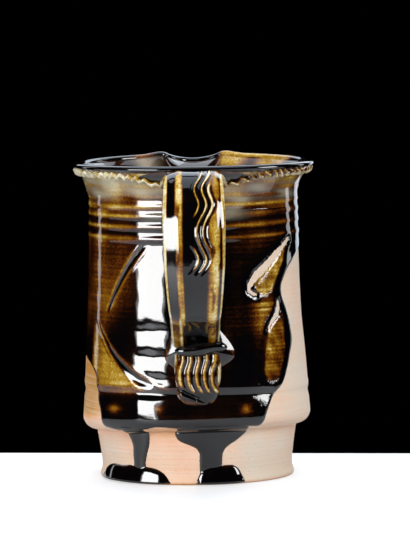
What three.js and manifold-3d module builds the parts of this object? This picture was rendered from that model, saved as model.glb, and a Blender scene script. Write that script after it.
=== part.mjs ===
// Stoneware pitcher: a wheel-thrown pot with a stepped foot, a flared and crimped rim, a pulled pouring lip
// and a strap handle that ends in a folded, combed tail. An iron glaze coats the wall and runs down the foot.
// Millimetres, +Z up. The origin is the centre of the underside, the lip faces +Y and the handle faces -Y.
import * as THREE from "three";
import { mergeVertices } from "three/addons/utils/BufferGeometryUtils.js";
import Module from "manifold-3d";

// Thrown pot
const RIM_HEIGHT = 182.4; // table to the top of the rim, at the front and sides
const RIM_RADIUS = 69.4;
const RIM_CROWN = 1.8; // rounding on top of the rim
const NECK_RADIUS = 59.8;
const COLLAR_HEIGHT = 22; // the flared part of the wall, below the rim
const BELLY_RADIUS = 66.5;
const STEP_RISE = 7.5; // from the step up to the widest part of the belly
const FOOT_HEIGHT = 27.5; // table to the step
const FOOT_TOP_RADIUS = 58;
const FOOT_WAIST_RADIUS = 55.2;
const FOOT_EDGE_RADIUS = 56.5; // where the foot meets the table
const FOOT_EDGE_BEVEL = 1.2;
const FLOOR_THICKNESS = 8;
const WALL_THICKNESS = 5.5;
const FLARE_POWER = 3.4; // how late the collar turns outwards
const BELLY_POWER = 1.6; // how early the wall leaves the belly
const FOOT_POWER = 1.2; // how late the foot spreads to the step

// Throwing rings round the neck
const RING_COUNT = 4;
const RING_PITCH = 6;
const RING_HEIGHT = 0.9;

// Pouring lip, all at the rim
const LIP_REACH = 12; // how far the lip is pulled out past the rim
const LIP_DROP = 4.5;
const LIP_SPREAD = 11; // degrees
const LIP_HALF_ANGLE = 36; // degrees, where the lip's own clay ends
const THROAT_ANGLE = 19; // degrees from the lip to the pinch on each side
const THROAT_SPREAD = 8; // degrees
const THROAT_PINCH = 4.5;
const SHOULDER_LIFT = 2.2; // the curl of the rim over each pinch
const BACK_RISE = 4; // the rim climbs towards the lip
const BACK_SPREAD = 58; // degrees

// Crimped edge under the rim, one run on each side of the handle
const CRIMP_PITCH = 6;
const CRIMP_BEAD = 2.3; // radius of the bead before it is nicked
const CRIMP_NICK = 0.9; // depth of a nick
const CRIMP_DROP = 1.5; // below the rim's edge
const CRIMP_DIP = 9.7; // how far it sinks beside the handle
const CRIMP_DIP_SPREAD = 26; // degrees
const CRIMP_MARGIN = 4; // degrees between the lip's clay and the first nick
const WING_SPREAD = 29; // degrees from the handle, clay smeared out along the rim
const WING_THICKNESS = 3;

// Strap handle
const STRAP_WIDTH = 34.5; // at the crest
const STRAP_FOOT_WIDTH = 27;
const STRAP_THICKNESS = 9.5; // at the crest
const STRAP_FOOT_THICKNESS = 7;
const STRAP_RIDGE = 0.9; // the two ribs along the strap
const STRAP_REACH = 46; // neck to the strap's outer face
const STRAP_FOOT_Z = 82; // where the strap lands on the wall
const STRAP_ROOT_DROP = 4.75; // the root's middle, below the crest's
const STRAP_ARCH = 4; // how hard the arch is pulled up
const STRAP_BEND_DROP = 32; // from the crest down to the straightest stretch
const STRAP_OUTER_RUN = 32; // how long the straightest stretch resists the lower bend
const STRAP_FOOT_SLOPE = 4; // the drop over the last stretch to the wall
const STRAP_FOOT_RUN = 24.5; // the length of that stretch

// Folded tail below the strap
const ROLL_RADIUS = 3.1;
const ROLL_WIDTH = 33;
const ROLL_STAND_OFF = 4; // wall to the roll's middle
const TAIL_WIDTH = 26;
const TAIL_HEIGHT = 25;
const TAIL_THICKNESS = 8;
const TAIL_TUCK = 1.2; // the tail's top, below the roll's middle
const CREASE_DEPTH = 2.4; // the fold that sets off the tail's curled end
const CREASE_BELOW = 18; // from the tail's top
const CREASE_SPREAD = 2.3;
const COMB_GROOVES = 6;
const COMB_DEPTH = 1.5;
const COMB_BELOW = 9; // the comb's middle, from the tail's top
const COMB_SPREAD = 7.5;
const EAR_WIDTH = 13; // the luting clay on each side of the strap's foot, as half sizes
const EAR_HEIGHT = 7;
const EAR_DEPTH = 5.5;
const EAR_DROOP = 22; // degrees

// Glaze
const GLAZE_THICKNESS = 0.9;
const LINER_THICKNESS = 0.8;
const RUN_THICKNESS = 1.3;
const GLAZE_EDGE_RISE = 5; // the coat's lower edge at the front, above the step
const BARE_WINDOWS = [
  { at: 100, spread: 41, rise: 86 }, // bare clay on the right flank, degrees from the handle
  { at: -98, spread: 40, rise: 36 }, // a lower one on the left flank
];
const RUNS = [
  { name: "foot_run_left", at: -34, shoulder: 9, stem: 5, pool: 24, poolAt: -45 },
  { name: "foot_run_right", at: 10, shoulder: 20, stem: 8, pool: 15, poolAt: 13 },
];
const RUN_BOTTOM_Z = 1.8;

// Faceting and the gap between neighbours
const GAP = 0.3;
const LATHE_SEGMENTS = 40;
const COLLAR_STEP = 6; // degrees
const LIP_STEP = 3; // degrees
const STRAP_STATIONS = 24;
const STRAP_SIDES = 18;
const DEGREE = Math.PI / 180;

// Places worked out from the sizes
const COLLAR_BASE = RIM_HEIGHT - RIM_CROWN - COLLAR_HEIGHT;
const BELLY_Z = FOOT_HEIGHT + STEP_RISE;
const CREST_Z = RIM_HEIGHT - STRAP_THICKNESS / 2;
const STRAP_LINE = NECK_RADIUS + STRAP_REACH - STRAP_THICKNESS / 2;
const ROLL_Z = STRAP_FOOT_Z - STRAP_FOOT_THICKNESS / 2 - ROLL_RADIUS;
const TAIL_TOP_Z = ROLL_Z - TAIL_TUCK;
const GLAZE_EDGE_Z = FOOT_HEIGHT + GLAZE_EDGE_RISE;
const CRIMP_FAR = 180 - LIP_HALF_ANGLE - CRIMP_MARGIN; // degrees from the handle
const CRIMP_NEAR = Math.asin((STRAP_WIDTH / 2 + 2 * GAP) / NECK_RADIUS) / DEGREE;

const wasm = await Module();
wasm.setup();

// A smooth hump, one at zero and almost nothing two units away.
const bump = (x) => Math.exp(-x * x);
const radial = (degrees, r, z) =>
  new THREE.Vector3(r * Math.sin(degrees * DEGREE), r * Math.cos(degrees * DEGREE), z);
// Angles from the handle run to the right as the handle is faced, angles from the lip the other way round.
const fromHandle = (degrees) => 180 - degrees;

// A three.js geometry as a solid that can be cut and joined.
function solid(geometry) {
  const bare = new THREE.BufferGeometry().setIndex(geometry.index);
  bare.setAttribute("position", geometry.getAttribute("position"));
  const merged = mergeVertices(bare, 1e-4);
  const made = (triVerts) =>
    new wasm.Manifold(
      new wasm.Mesh({ numProp: 3, vertProperties: merged.attributes.position.array, triVerts }),
    );
  const triVerts = new Uint32Array(merged.index.array);
  const first = made(triVerts);
  return first.volume() < 0 ? made(triVerts.reverse()) : first;
}

// A solid as a geometry again.
function geometryOf(body) {
  const mesh = body.getMesh();
  const geometry = new THREE.BufferGeometry();
  geometry.setAttribute("position", new THREE.BufferAttribute(mesh.vertProperties, 3));
  geometry.setIndex(new THREE.BufferAttribute(mesh.triVerts, 1));
  geometry.computeVertexNormals();
  return geometry;
}

// A body of revolution about +Z from a closed outline of [radius, height] points.
function turned(outline) {
  const points = outline.map(([r, z]) => new THREE.Vector2(r, z));
  return solid(new THREE.LatheGeometry(points, LATHE_SEGMENTS).rotateX(Math.PI / 2));
}

// The triangles of a flat end face, wound as the loop runs.
function faceOf(loop) {
  const normal = new THREE.Vector3();
  loop.forEach((p, i) => normal.add(new THREE.Vector3().crossVectors(p, loop[(i + 1) % loop.length])));
  const turn = new THREE.Quaternion().setFromUnitVectors(normal.normalize(), new THREE.Vector3(0, 0, 1));
  const flat = loop.map((p) => {
    const q = p.clone().applyQuaternion(turn);
    return new THREE.Vector2(q.x, q.y);
  });
  return THREE.ShapeUtils.triangulateShape(flat, []).map(([a, b, c]) =>
    THREE.ShapeUtils.area([flat[a], flat[b], flat[c]]) < 0 ? [a, c, b] : [a, b, c],
  );
}

// A solid drawn through a row of loops with equal counts of points. It closes on itself, or has flat ends.
function lofted(loops, closed = false) {
  const size = loops[0].length;
  const index = [];
  const spans = closed ? loops.length : loops.length - 1;
  for (let i = 0; i < spans; i++) {
    const here = i * size;
    const next = ((i + 1) % loops.length) * size;
    for (let j = 0; j < size; j++) {
      const k = (j + 1) % size;
      index.push(here + j, here + k, next + k, here + j, next + k, next + j);
    }
  }
  if (!closed) {
    const last = (loops.length - 1) * size;
    faceOf(loops[0]).forEach(([a, b, c]) => index.push(a, c, b));
    faceOf(loops[loops.length - 1]).forEach(([a, b, c]) => index.push(last + a, last + b, last + c));
  }
  const geometry = new THREE.BufferGeometry().setFromPoints(loops.flat()).setIndex(index);
  return solid(geometry);
}

// Outline of the pot

// Outer radius of the wall from the belly up to the collar, without its rings.
function wallRadius(z) {
  const toNeck = Math.max((COLLAR_BASE - z) / (COLLAR_BASE - BELLY_Z), 0);
  return NECK_RADIUS + (BELLY_RADIUS - NECK_RADIUS) * Math.pow(toNeck, BELLY_POWER);
}

// The floor's edge: a bevel on the table, then a hollow sweep up to the waist.
const floorOutline = [
  [FOOT_EDGE_RADIUS - FOOT_EDGE_BEVEL, 0],
  [FOOT_EDGE_RADIUS, FOOT_EDGE_BEVEL],
  [(FOOT_EDGE_RADIUS + 2 * FOOT_WAIST_RADIUS) / 3, FLOOR_THICKNESS / 2],
  [FOOT_WAIST_RADIUS, FLOOR_THICKNESS],
];

// The foot's outer face, from the floor up to the step.
const footOutline = [0, 0.35, 0.7, 1].map((share) => [
  FOOT_WAIST_RADIUS + (FOOT_TOP_RADIUS - FOOT_WAIST_RADIUS) * Math.pow(share, FOOT_POWER),
  FLOOR_THICKNESS + (FOOT_HEIGHT - FLOOR_THICKNESS) * share,
]);

// The belly's rounded lower edge is a quarter of an ellipse that hangs over the foot.
const stepOutline = [0, 30, 55, 75, 90].map((degrees) => [
  FOOT_TOP_RADIUS + (BELLY_RADIUS - FOOT_TOP_RADIUS) * Math.sin(degrees * DEGREE),
  BELLY_Z - STEP_RISE * Math.cos(degrees * DEGREE),
]);

// The wall above the belly, with a ridge for each throwing ring under the collar.
const ringsBottomZ = COLLAR_BASE - RING_COUNT * RING_PITCH;
const plainWall = [0.25, 0.5, 0.75, 1].map((share) => {
  const z = BELLY_Z + (ringsBottomZ - BELLY_Z) * share;
  return [wallRadius(z), z];
});
const ringedWall = [];
for (let ring = 0; ring < RING_COUNT; ring++) {
  const foot = ringsBottomZ + ring * RING_PITCH;
  ringedWall.push([wallRadius(foot + RING_PITCH / 2) + RING_HEIGHT, foot + RING_PITCH / 2]);
  ringedWall.push([wallRadius(foot + RING_PITCH), foot + RING_PITCH]);
}
const wallOutline = [...stepOutline, ...plainWall, ...ringedWall];

// The smooth inside, one wall's thickness in from the outside.
const insideOf = ([r, z]) => [r - WALL_THICKNESS, z];
const neckInside = (z) => insideOf([NECK_RADIUS, z]);
const footInside = [footOutline.at(0), footOutline.at(-1)].map(insideOf);
const bellyInside = [...stepOutline, ...plainWall].filter((_, i) => i % 2 === 0).map(insideOf);
const wallInside = [...bellyInside, neckInside(COLLAR_BASE)];

// The collar: its outer face at an angle from the lip and a share of its height, moved out by an offset.
function collarPoint(degrees, share, offset) {
  const angle = Math.abs(((degrees + 540) % 360) - 180);
  const atLip = bump(angle / LIP_SPREAD);
  const atThroat = bump((angle - THROAT_ANGLE) / THROAT_SPREAD);
  const pull = LIP_REACH * atLip - THROAT_PINCH * atThroat;
  const rise = BACK_RISE * bump(angle / BACK_SPREAD) + SHOULDER_LIFT * atThroat - LIP_DROP * atLip;
  const weight = share * share;
  const r = NECK_RADIUS + (RIM_RADIUS - NECK_RADIUS) * Math.pow(share, FLARE_POWER);
  return radial(
    degrees,
    r + offset + weight * pull,
    COLLAR_BASE + COLLAR_HEIGHT * share + weight * rise,
  );
}

// One slice of the collar at an angle: up the outer face, over the crown and down the inner face.
function collarLoop(degrees, extra = 0) {
  const shares = [0, 0.35, 0.58, 0.75, 0.88, 1];
  const crown = [0.15, 0.5, 0.85].map((across) => {
    const p = collarPoint(degrees, 1, -WALL_THICKNESS * across + extra * (1 - 2 * across));
    p.z += RIM_CROWN * Math.sin(Math.PI * across) + extra;
    return p;
  });
  const outer = shares.map((share) => collarPoint(degrees, share, extra));
  const inner = shares.map((share) => collarPoint(degrees, share, -WALL_THICKNESS - extra)).reverse();
  return [...outer, ...crown, ...inner];
}

function collarArc(from, to, step, extra) {
  const steps = Math.round((to - from) / step);
  const loops = [];
  for (let i = 0; i <= steps; i++) loops.push(collarLoop(from + ((to - from) * i) / steps, extra));
  return lofted(loops);
}

const flaredRim = (extra = 0) => collarArc(LIP_HALF_ANGLE, 360 - LIP_HALF_ANGLE, COLLAR_STEP, extra);
const pouringLip = (extra = 0) => collarArc(-LIP_HALF_ANGLE, LIP_HALF_ANGLE, LIP_STEP, extra);

// Thrown pieces

function floorSlab() {
  return turned([[0, 0], ...floorOutline, [0, FLOOR_THICKNESS]]);
}

function standingRing(outside, inside) {
  return turned([...outside, ...inside.toReversed(), outside[0]]);
}

// The pot's outside as one solid, grown by the gap, which shapes whatever is luted on to it.
function potEnvelope() {
  const outside = [...floorOutline, ...footOutline, ...wallOutline].map(([r, z]) => [r + GAP, z]);
  const core = turned([[0, outside[0][1]], ...outside, [0, COLLAR_BASE]]);
  const middle = [0, 0.4, 0.7, 1].map((share) => {
    const p = collarPoint(180, share, -WALL_THICKNESS / 2);
    return [-p.y, p.z];
  });
  const clear = RIM_HEIGHT + STRAP_THICKNESS;
  const plug = turned([[0, COLLAR_BASE], ...middle, [middle.at(-1).at(0), clear], [0, clear]]);
  return core.add(plug).add(flaredRim(GAP)).add(pouringLip(GAP));
}

// Handle

// The strap's centreline: out of the collar's clay, over a crest, down, and back in to the wall.
function strapLine() {
  const wall = wallRadius(STRAP_FOOT_Z);
  const turnZ = CREST_Z - STRAP_BEND_DROP;
  const rootShare = (CREST_Z - STRAP_ROOT_DROP - COLLAR_BASE) / COLLAR_HEIGHT;
  const point = (r, z) => new THREE.Vector3(0, -r, z);
  const line = new THREE.CurvePath();
  line.add(
    new THREE.CubicBezierCurve3(
      collarPoint(180, rootShare, -WALL_THICKNESS / 2).setX(0),
      point(RIM_RADIUS + STRAP_THICKNESS, CREST_Z + STRAP_ARCH),
      point(STRAP_LINE, CREST_Z + STRAP_ARCH / 2),
      point(STRAP_LINE, turnZ),
    ),
  );
  line.add(
    new THREE.CubicBezierCurve3(
      point(STRAP_LINE, turnZ),
      point(STRAP_LINE, turnZ - STRAP_OUTER_RUN),
      point(wall + STRAP_FOOT_RUN, STRAP_FOOT_Z + STRAP_FOOT_SLOPE),
      point(wall - WALL_THICKNESS / 2, STRAP_FOOT_Z),
    ),
  );
  return line;
}

// The strap's section: a rounded slab with two ribs along its outer face.
function strapSection(share, extra) {
  const halfWidth = THREE.MathUtils.lerp(STRAP_WIDTH, STRAP_FOOT_WIDTH, share) / 2 + extra;
  const halfThickness = THREE.MathUtils.lerp(STRAP_THICKNESS, STRAP_FOOT_THICKNESS, share) / 2 + extra;
  const section = [];
  for (let i = 0; i < STRAP_SIDES; i++) {
    const angle = (2 * Math.PI * i) / STRAP_SIDES;
    const c = Math.cos(angle);
    const s = Math.sin(angle);
    const x = halfWidth * Math.sign(c) * Math.pow(Math.abs(c), 0.7);
    const rib = s > 0 ? STRAP_RIDGE * bump((Math.abs(x) / halfWidth - 0.6) / 0.2) - STRAP_RIDGE / 2 : 0;
    section.push([x, halfThickness * Math.sign(s) * Math.pow(Math.abs(s), 0.6) + rib * Math.abs(s)]);
  }
  return section;
}

function strapSweep(extra = 0) {
  const line = strapLine();
  const loops = [];
  for (let i = 0; i <= STRAP_STATIONS; i++) {
    const share = i / STRAP_STATIONS;
    const at = line.getPointAt(share);
    const along = line.getTangentAt(share);
    const out = new THREE.Vector3(1, 0, 0).cross(along).negate();
    loops.push(
      strapSection(share, extra).map(([x, n]) => at.clone().addScaledVector(out, n).setX(x)),
    );
  }
  return lofted(loops);
}

// The rolled edge where the strap's end is folded forward: a coil across the wall with rounded ends.
function tailRoll(extra = 0) {
  const half = ROLL_WIDTH / 2;
  const seat = wallRadius(ROLL_Z) + ROLL_STAND_OFF;
  const loops = [];
  for (let i = 0; i <= 12; i++) {
    const across = -1 + i / 6;
    const x = half * across;
    const r = (ROLL_RADIUS + extra) * Math.sqrt(Math.max(1 - Math.pow(across, 6), 0.04));
    const depth = Math.sqrt(seat * seat - x * x);
    const loop = [];
    for (let k = 0; k < 10; k++) {
      const angle = (2 * Math.PI * k) / 10;
      loop.push(new THREE.Vector3(x, -depth - r * Math.cos(angle), ROLL_Z + r * Math.sin(angle)));
    }
    loops.push(loop);
  }
  return lofted(loops);
}

// How far the tail stands off the wall: thick under the roll, creased, then a curled lip at its end.
function tailStandOff(across, below) {
  const edge = Math.sqrt(Math.max(1 - Math.pow(Math.abs(across), 5), 0));
  const end = Math.sqrt(Math.max(1 - Math.pow(below / TAIL_HEIGHT, 8), 0));
  const crease = CREASE_DEPTH * bump((below - CREASE_BELOW) / CREASE_SPREAD);
  const wave = Math.pow(Math.sin(((across + 1) * Math.PI * COMB_GROOVES) / 2), 2);
  const groove = COMB_DEPTH * wave * bump((below - COMB_BELOW) / COMB_SPREAD);
  return (TAIL_THICKNESS - crease - groove) * edge * end;
}

function combedTail(extra = 0) {
  const rows = 10;
  const columns = 4 * COMB_GROOVES;
  const rooted = -WALL_THICKNESS / 2;
  const loops = [];
  for (let row = 0; row <= rows; row++) {
    const down = row / rows;
    const z = TAIL_TOP_Z + extra - (TAIL_HEIGHT + 2 * extra) * down;
    const wall = wallRadius(z);
    const standing = (across, off) => {
      const x = (TAIL_WIDTH / 2 + extra) * across;
      return new THREE.Vector3(x, -Math.sqrt(wall * wall - x * x) - off, z);
    };
    const loop = [];
    for (let column = 0; column <= columns; column++) {
      const across = -1 + (2 * column) / columns;
      loop.push(standing(across, tailStandOff(across, TAIL_HEIGHT * down) + extra));
    }
    loop.push(standing(1, rooted), standing(0, rooted), standing(-1, rooted));
    loops.push(loop);
  }
  return lofted(loops);
}

// A wad of clay thumbed into the corner between the strap's foot and the wall.
function footEar(side, extra = 0) {
  const wad = new THREE.SphereGeometry(1, 12, 8);
  wad.scale(EAR_WIDTH + extra, EAR_DEPTH + extra, EAR_HEIGHT + extra).rotateY(side * EAR_DROOP * DEGREE);
  const seat = wallRadius(STRAP_FOOT_Z);
  const x = side * (STRAP_FOOT_WIDTH / 2 + EAR_WIDTH / 4);
  return solid(wad.translate(x, -Math.sqrt(seat * seat - x * x), STRAP_FOOT_Z));
}

// Everything luted to the wall below the strap, grown by the gap, with the cracks between the pieces filled.
function footRoom() {
  const height = STRAP_FOOT_Z - TAIL_TOP_Z + TAIL_HEIGHT / 2;
  const filler = new THREE.BoxGeometry(TAIL_WIDTH, STRAP_REACH, height);
  filler.translate(0, -wallRadius(STRAP_FOOT_Z), STRAP_FOOT_Z - height / 2);
  return [combedTail(GAP), tailRoll(GAP), footEar(-1, GAP), footEar(1, GAP), strapSweep(GAP)].reduce(
    (room, piece) => room.add(piece),
    solid(filler),
  );
}

// Rim trim

// Share of the collar's height at which the crimped edge runs, dipping towards the handle.
function crimpLevel(fromStrap) {
  const below = CRIMP_DROP + CRIMP_DIP * bump(fromStrap / CRIMP_DIP_SPREAD);
  return 1 - below / COLLAR_HEIGHT;
}

// A nicked bead along one side of the rim, from the throat to the strap.
function crimpedEdge(side, extra = 0) {
  const span = CRIMP_FAR - CRIMP_NEAR;
  const nicks = Math.round((span * DEGREE * RIM_RADIUS) / CRIMP_PITCH);
  const loops = [];
  for (let i = 0; i <= 2 * nicks; i++) {
    const fromStrap = CRIMP_FAR - (span * i) / (2 * nicks);
    const share = crimpLevel(fromStrap);
    const r = CRIMP_BEAD + extra - (i % 2 === 0 ? CRIMP_NICK : 0);
    const degrees = fromHandle(side * fromStrap);
    const at = collarPoint(degrees, share, 0);
    const out = radial(degrees, 1, 0);
    const loop = [];
    for (let k = 0; k < 6; k++) {
      const angle = (2 * Math.PI * k) / 6;
      const p = at.clone().addScaledVector(out, r * Math.cos(angle));
      p.z += r * Math.sin(angle);
      loop.push(p);
    }
    loops.push(loop);
  }
  return lofted(loops);
}

// Clay smeared from the strap's root along the rim, thinning out above the crimped edge.
function rootWing(side) {
  const steps = 8;
  const loops = [];
  for (let i = 0; i <= steps; i++) {
    const fromStrap = WING_SPREAD * (1 - i / steps);
    const degrees = fromHandle(side * fromStrap);
    const low = crimpLevel(fromStrap) + (CRIMP_BEAD + 2 * GAP) / COLLAR_HEIGHT;
    const thick = WING_THICKNESS * (1.05 - fromStrap / WING_SPREAD) + GAP;
    const shares = [0, 0.5, 1].map((share) => low + (1 - low) * share);
    loops.push([
      ...shares.map((share) => collarPoint(degrees, share, thick)),
      ...shares.reverse().map((share) => collarPoint(degrees, share, -WALL_THICKNESS / 2)),
    ]);
  }
  return lofted(loops);
}

// Glaze

// The height at which the coat ends, at an angle from the handle.
function glazeEdge(fromStrap) {
  return BARE_WINDOWS.reduce((z, window) => {
    const away = ((fromStrap - window.at + 540) % 360) - 180;
    return z + window.rise * Math.exp(-Math.pow(away / window.spread, 4));
  }, GLAZE_EDGE_Z);
}

// The radius of the belly's rounded edge at a height, read along the outline that the wall is turned from.
function stepRadius(z) {
  const above = stepOutline.findIndex((point) => point[1] >= z);
  const [highRadius, highZ] = stepOutline[above];
  const [lowRadius, lowZ] = stepOutline[above - 1];
  return lowRadius + ((highRadius - lowRadius) * (z - lowZ)) / (highZ - lowZ);
}

// The iron glaze on the wall: a coat of even thickness, trimmed along its wandering lower edge.
function outerGlaze() {
  const top = [NECK_RADIUS, COLLAR_BASE - GAP];
  const coated = [...stepOutline.slice(1), ...plainWall, ...ringedWall.slice(0, -1), top];
  const face = (offset) => coated.map(([r, z]) => [r + offset, z]);
  const coat = standingRing(face(GAP + GLAZE_THICKNESS), face(GAP));
  const curtain = [];
  for (let i = 0; i < LATHE_SEGMENTS; i++) {
    const fromStrap = (360 * i) / LATHE_SEGMENTS;
    const degrees = fromHandle(fromStrap);
    const edge = glazeEdge(fromStrap);
    const hem = (r, z) => radial(degrees, r, z);
    curtain.push([
      hem(FOOT_WAIST_RADIUS / 2, edge),
      hem(BELLY_RADIUS * 1.5, edge),
      hem(BELLY_RADIUS * 1.5, RIM_HEIGHT),
      hem(FOOT_WAIST_RADIUS / 2, RIM_HEIGHT),
    ]);
  }
  return coat.intersect(lofted(curtain, true));
}

// The glaze inside: a cup that lines the floor and the wall up to the collar.
function linerGlaze() {
  const lined = [...footInside, ...bellyInside.slice(1), neckInside(COLLAR_BASE - GAP)];
  const face = (depth) => {
    const wall = lined.map(([r, z]) => [r - depth, Math.max(z, FLOOR_THICKNESS + depth)]);
    return [[0, FLOOR_THICKNESS + depth], ...wall];
  };
  return turned([...face(GAP), ...face(GAP + LINER_THICKNESS).reverse()]);
}

// A run of glaze over the step and down the foot, ending in a pool above the table.
function footRun({ at, shoulder, stem, pool, poolAt }) {
  const startZ = GLAZE_EDGE_Z - GAP;
  const below = [...floorOutline.slice(1), ...footOutline.slice(1), ...stepOutline.slice(1)].reverse();
  const between = below.filter(([, z]) => z > RUN_BOTTOM_Z && z < startZ);
  const route = [[stepRadius(startZ), startZ], ...between, [FOOT_EDGE_RADIUS, RUN_BOTTOM_Z]];
  const loops = route.map(([r, z], i) => {
    const before = route[Math.max(i - 1, 0)];
    const after = route[Math.min(i + 1, route.length - 1)];
    const along = new THREE.Vector2(after[0] - before[0], after[1] - before[1]).normalize();
    const out = new THREE.Vector2(-along.y, along.x);
    const fall = (startZ - z) / (startZ - RUN_BOTTOM_Z);
    const spread = stem + (shoulder - stem) * bump(fall / 0.38) + (pool - stem) * bump((1 - fall) / 0.2);
    const centre = at + (poolAt - at) * bump((1 - fall) / 0.25);
    const face = (offset, order) =>
      order.map((across) =>
        radial(fromHandle(centre + spread * across), r + out.x * offset, z + out.y * offset),
      );
    const order = [-1, -0.6, -0.2, 0.2, 0.6, 1];
    return [...face(-GAP, order), ...face(GAP + RUN_THICKNESS, order.toReversed())];
  });
  return lofted(loops);
}

// Assembly

const STONEWARE = { color: 0xd8b79c, roughness: 0.75, metalness: 0 };
const IRON_GLAZE = { color: 0x1c0f07, roughness: 0.12, metalness: 0 };
const AMBER_GLAZE = { color: 0x6b4310, roughness: 0.15, metalness: 0 };
const CREAM_EDGE = { color: 0xcdbb93, roughness: 0.35, metalness: 0 };

const pitcher = new THREE.Group();
pitcher.name = "stoneware_pitcher";

function place(name, body, finish) {
  const mesh = new THREE.Mesh(geometryOf(body), new THREE.MeshStandardMaterial(finish));
  mesh.name = name;
  pitcher.add(mesh);
}

const SIDES = [
  ["left", -1],
  ["right", 1],
];
const envelope = potEnvelope();
const strap = strapSweep().subtract(envelope);
const strapRoom = strapSweep(GAP);
const roll = tailRoll().subtract(envelope).subtract(strapRoom);
const rollRoom = tailRoll(GAP);
const tail = combedTail().subtract(envelope).subtract(rollRoom).subtract(strapRoom);

place("floor_slab", floorSlab(), STONEWARE);
place("foot_wall", standingRing(footOutline, footInside), STONEWARE);
place("body_wall", standingRing(wallOutline, wallInside), STONEWARE);
place("flared_rim", flaredRim(), IRON_GLAZE);
place("pouring_lip", pouringLip(), IRON_GLAZE);
place("handle_strap", strap, IRON_GLAZE);
place("tail_roll", roll, IRON_GLAZE);
place("combed_tail", tail, AMBER_GLAZE);

for (const [word, side] of SIDES) {
  const ear = footEar(side).subtract(envelope).subtract(strapRoom).subtract(rollRoom);
  place("foot_ear_" + word, ear.subtract(combedTail(GAP)), IRON_GLAZE);
  place("crimped_edge_" + word, crimpedEdge(side).subtract(envelope), CREAM_EDGE);
  const wing = rootWing(side).subtract(envelope).subtract(strapRoom).subtract(crimpedEdge(side, GAP));
  place("root_wing_" + word, wing, AMBER_GLAZE);
}

place("outer_glaze", outerGlaze().subtract(footRoom()), IRON_GLAZE);
place("liner_glaze", linerGlaze(), AMBER_GLAZE);
for (const run of RUNS) place(run.name, footRun(run).subtract(envelope), IRON_GLAZE);

export default pitcher;
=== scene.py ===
# %% [markdown]
# # A stoneware pitcher
# The pitcher was thrown on a wheel, given a pulled strap handle and a crimped rim, dipped in an iron glaze
# and fired. Every piece here is a numpy surface: a grid of points worked out by a formula, in millimetres,
# and put into a mesh in metres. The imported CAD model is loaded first, because all sizes hang on it.

import bpy
import numpy as np
from mathutils import Matrix, Vector


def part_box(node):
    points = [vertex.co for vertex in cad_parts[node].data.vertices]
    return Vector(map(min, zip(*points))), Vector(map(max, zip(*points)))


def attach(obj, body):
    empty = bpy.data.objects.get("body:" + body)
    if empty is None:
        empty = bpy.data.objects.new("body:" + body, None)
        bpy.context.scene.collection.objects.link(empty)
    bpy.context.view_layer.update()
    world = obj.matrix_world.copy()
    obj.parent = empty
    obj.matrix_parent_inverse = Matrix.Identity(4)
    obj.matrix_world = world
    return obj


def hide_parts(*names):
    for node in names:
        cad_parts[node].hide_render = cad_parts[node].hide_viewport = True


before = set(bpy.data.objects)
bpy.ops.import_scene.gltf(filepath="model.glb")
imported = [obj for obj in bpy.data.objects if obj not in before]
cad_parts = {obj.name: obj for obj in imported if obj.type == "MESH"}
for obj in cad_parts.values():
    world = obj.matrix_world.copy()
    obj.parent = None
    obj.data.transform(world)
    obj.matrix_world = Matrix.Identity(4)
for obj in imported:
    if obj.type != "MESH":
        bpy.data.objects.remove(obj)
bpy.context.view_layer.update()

MM = 0.001  # one millimetre in Blender's metres


def reach(node):
    """A CAD node's lowest and highest corner, in millimetres."""
    low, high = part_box(node)
    return np.array(low) / MM, np.array(high) / MM


print("nodes in the frame:", len(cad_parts))

# %% [markdown]
# ## Two curves and a mesh maker
# Clay has few sharp corners, so nearly every shape below is a sum of soft humps and soft steps. The mesh
# maker takes whole arrays, turns the faces outwards if they are not, and keeps what the material needs to
# know of each point, such as the film of glaze there, as a point attribute.

# %% Helpers for shapes


def hump(x, middle=0.0, width=1.0):
    """A smooth bell, 1 at the middle and nothing two widths off: e to the minus square of the widths off."""
    return np.exp(-np.square((x - middle) / width))


def soft_step(x, start=0.0, over=1.0):
    """0 before the start, 1 past start + over, and 3t^2 - 2t^3 between, where t is the share of the way."""
    t = np.clip((x - start) / over, 0.0, 1.0)
    return t * t * (3.0 - 2.0 * t)


def ripple(a, b, seed):
    """Slow unevenness between about -1 and 1: four sine waves that cross at angles set by the seed."""
    total = 0.0
    for k in range(4):
        bearing = seed * 1.7 + k * 2.4
        total = total + np.sin((a * np.cos(bearing) + b * np.sin(bearing)) * (0.7 + 0.45 * k) + seed + k * k)
    return total / 2.6


ROUND_R = 62.0  # mm, the wall's mean radius, by which ways round it are measured


def round_ripple(angle, z, wide, tall, seed):
    """Slow unevenness round the wall, that dies out at the back, where the angle starts again."""
    return ripple(ROUND_R * angle / wide, z / tall, seed) * (1.0 - soft_step(np.abs(angle), 2.75, 0.35))


def smooth_curve(at, knots):
    """A curve through (place, value) knots, softened by averaging it with itself a little either side."""
    places, values = np.array(knots, float).T
    return sum(np.interp(at + shift, places, values) for shift in (-4, -2.5, -1, 0, 1, 2.5, 4)) / 7.0


def grid_quads(rows, cols, wrap_rows=False, wrap_cols=True):
    """Quads that join a grid of points, row by row; a wrapped side joins its last line to its first."""
    i, j = np.meshgrid(np.arange(rows - (not wrap_rows)), np.arange(cols - (not wrap_cols)), indexing="ij")
    up, on = (i + 1) % rows, (j + 1) % cols
    return np.stack([i * cols + j, i * cols + on, up * cols + on, up * cols + j], -1).reshape(-1, 4)


def end_fans(rows, cols):
    """Triangles from one extra point to the first row and from another to the last row."""
    j = np.arange(cols)
    on, last, pole = (j + 1) % cols, (rows - 1) * cols, rows * cols
    low = np.stack([on, j, np.full(cols, pole)], -1)
    high = np.stack([last + j, last + on, np.full(cols, pole + 1)], -1)
    return np.concatenate([low, high])


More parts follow.
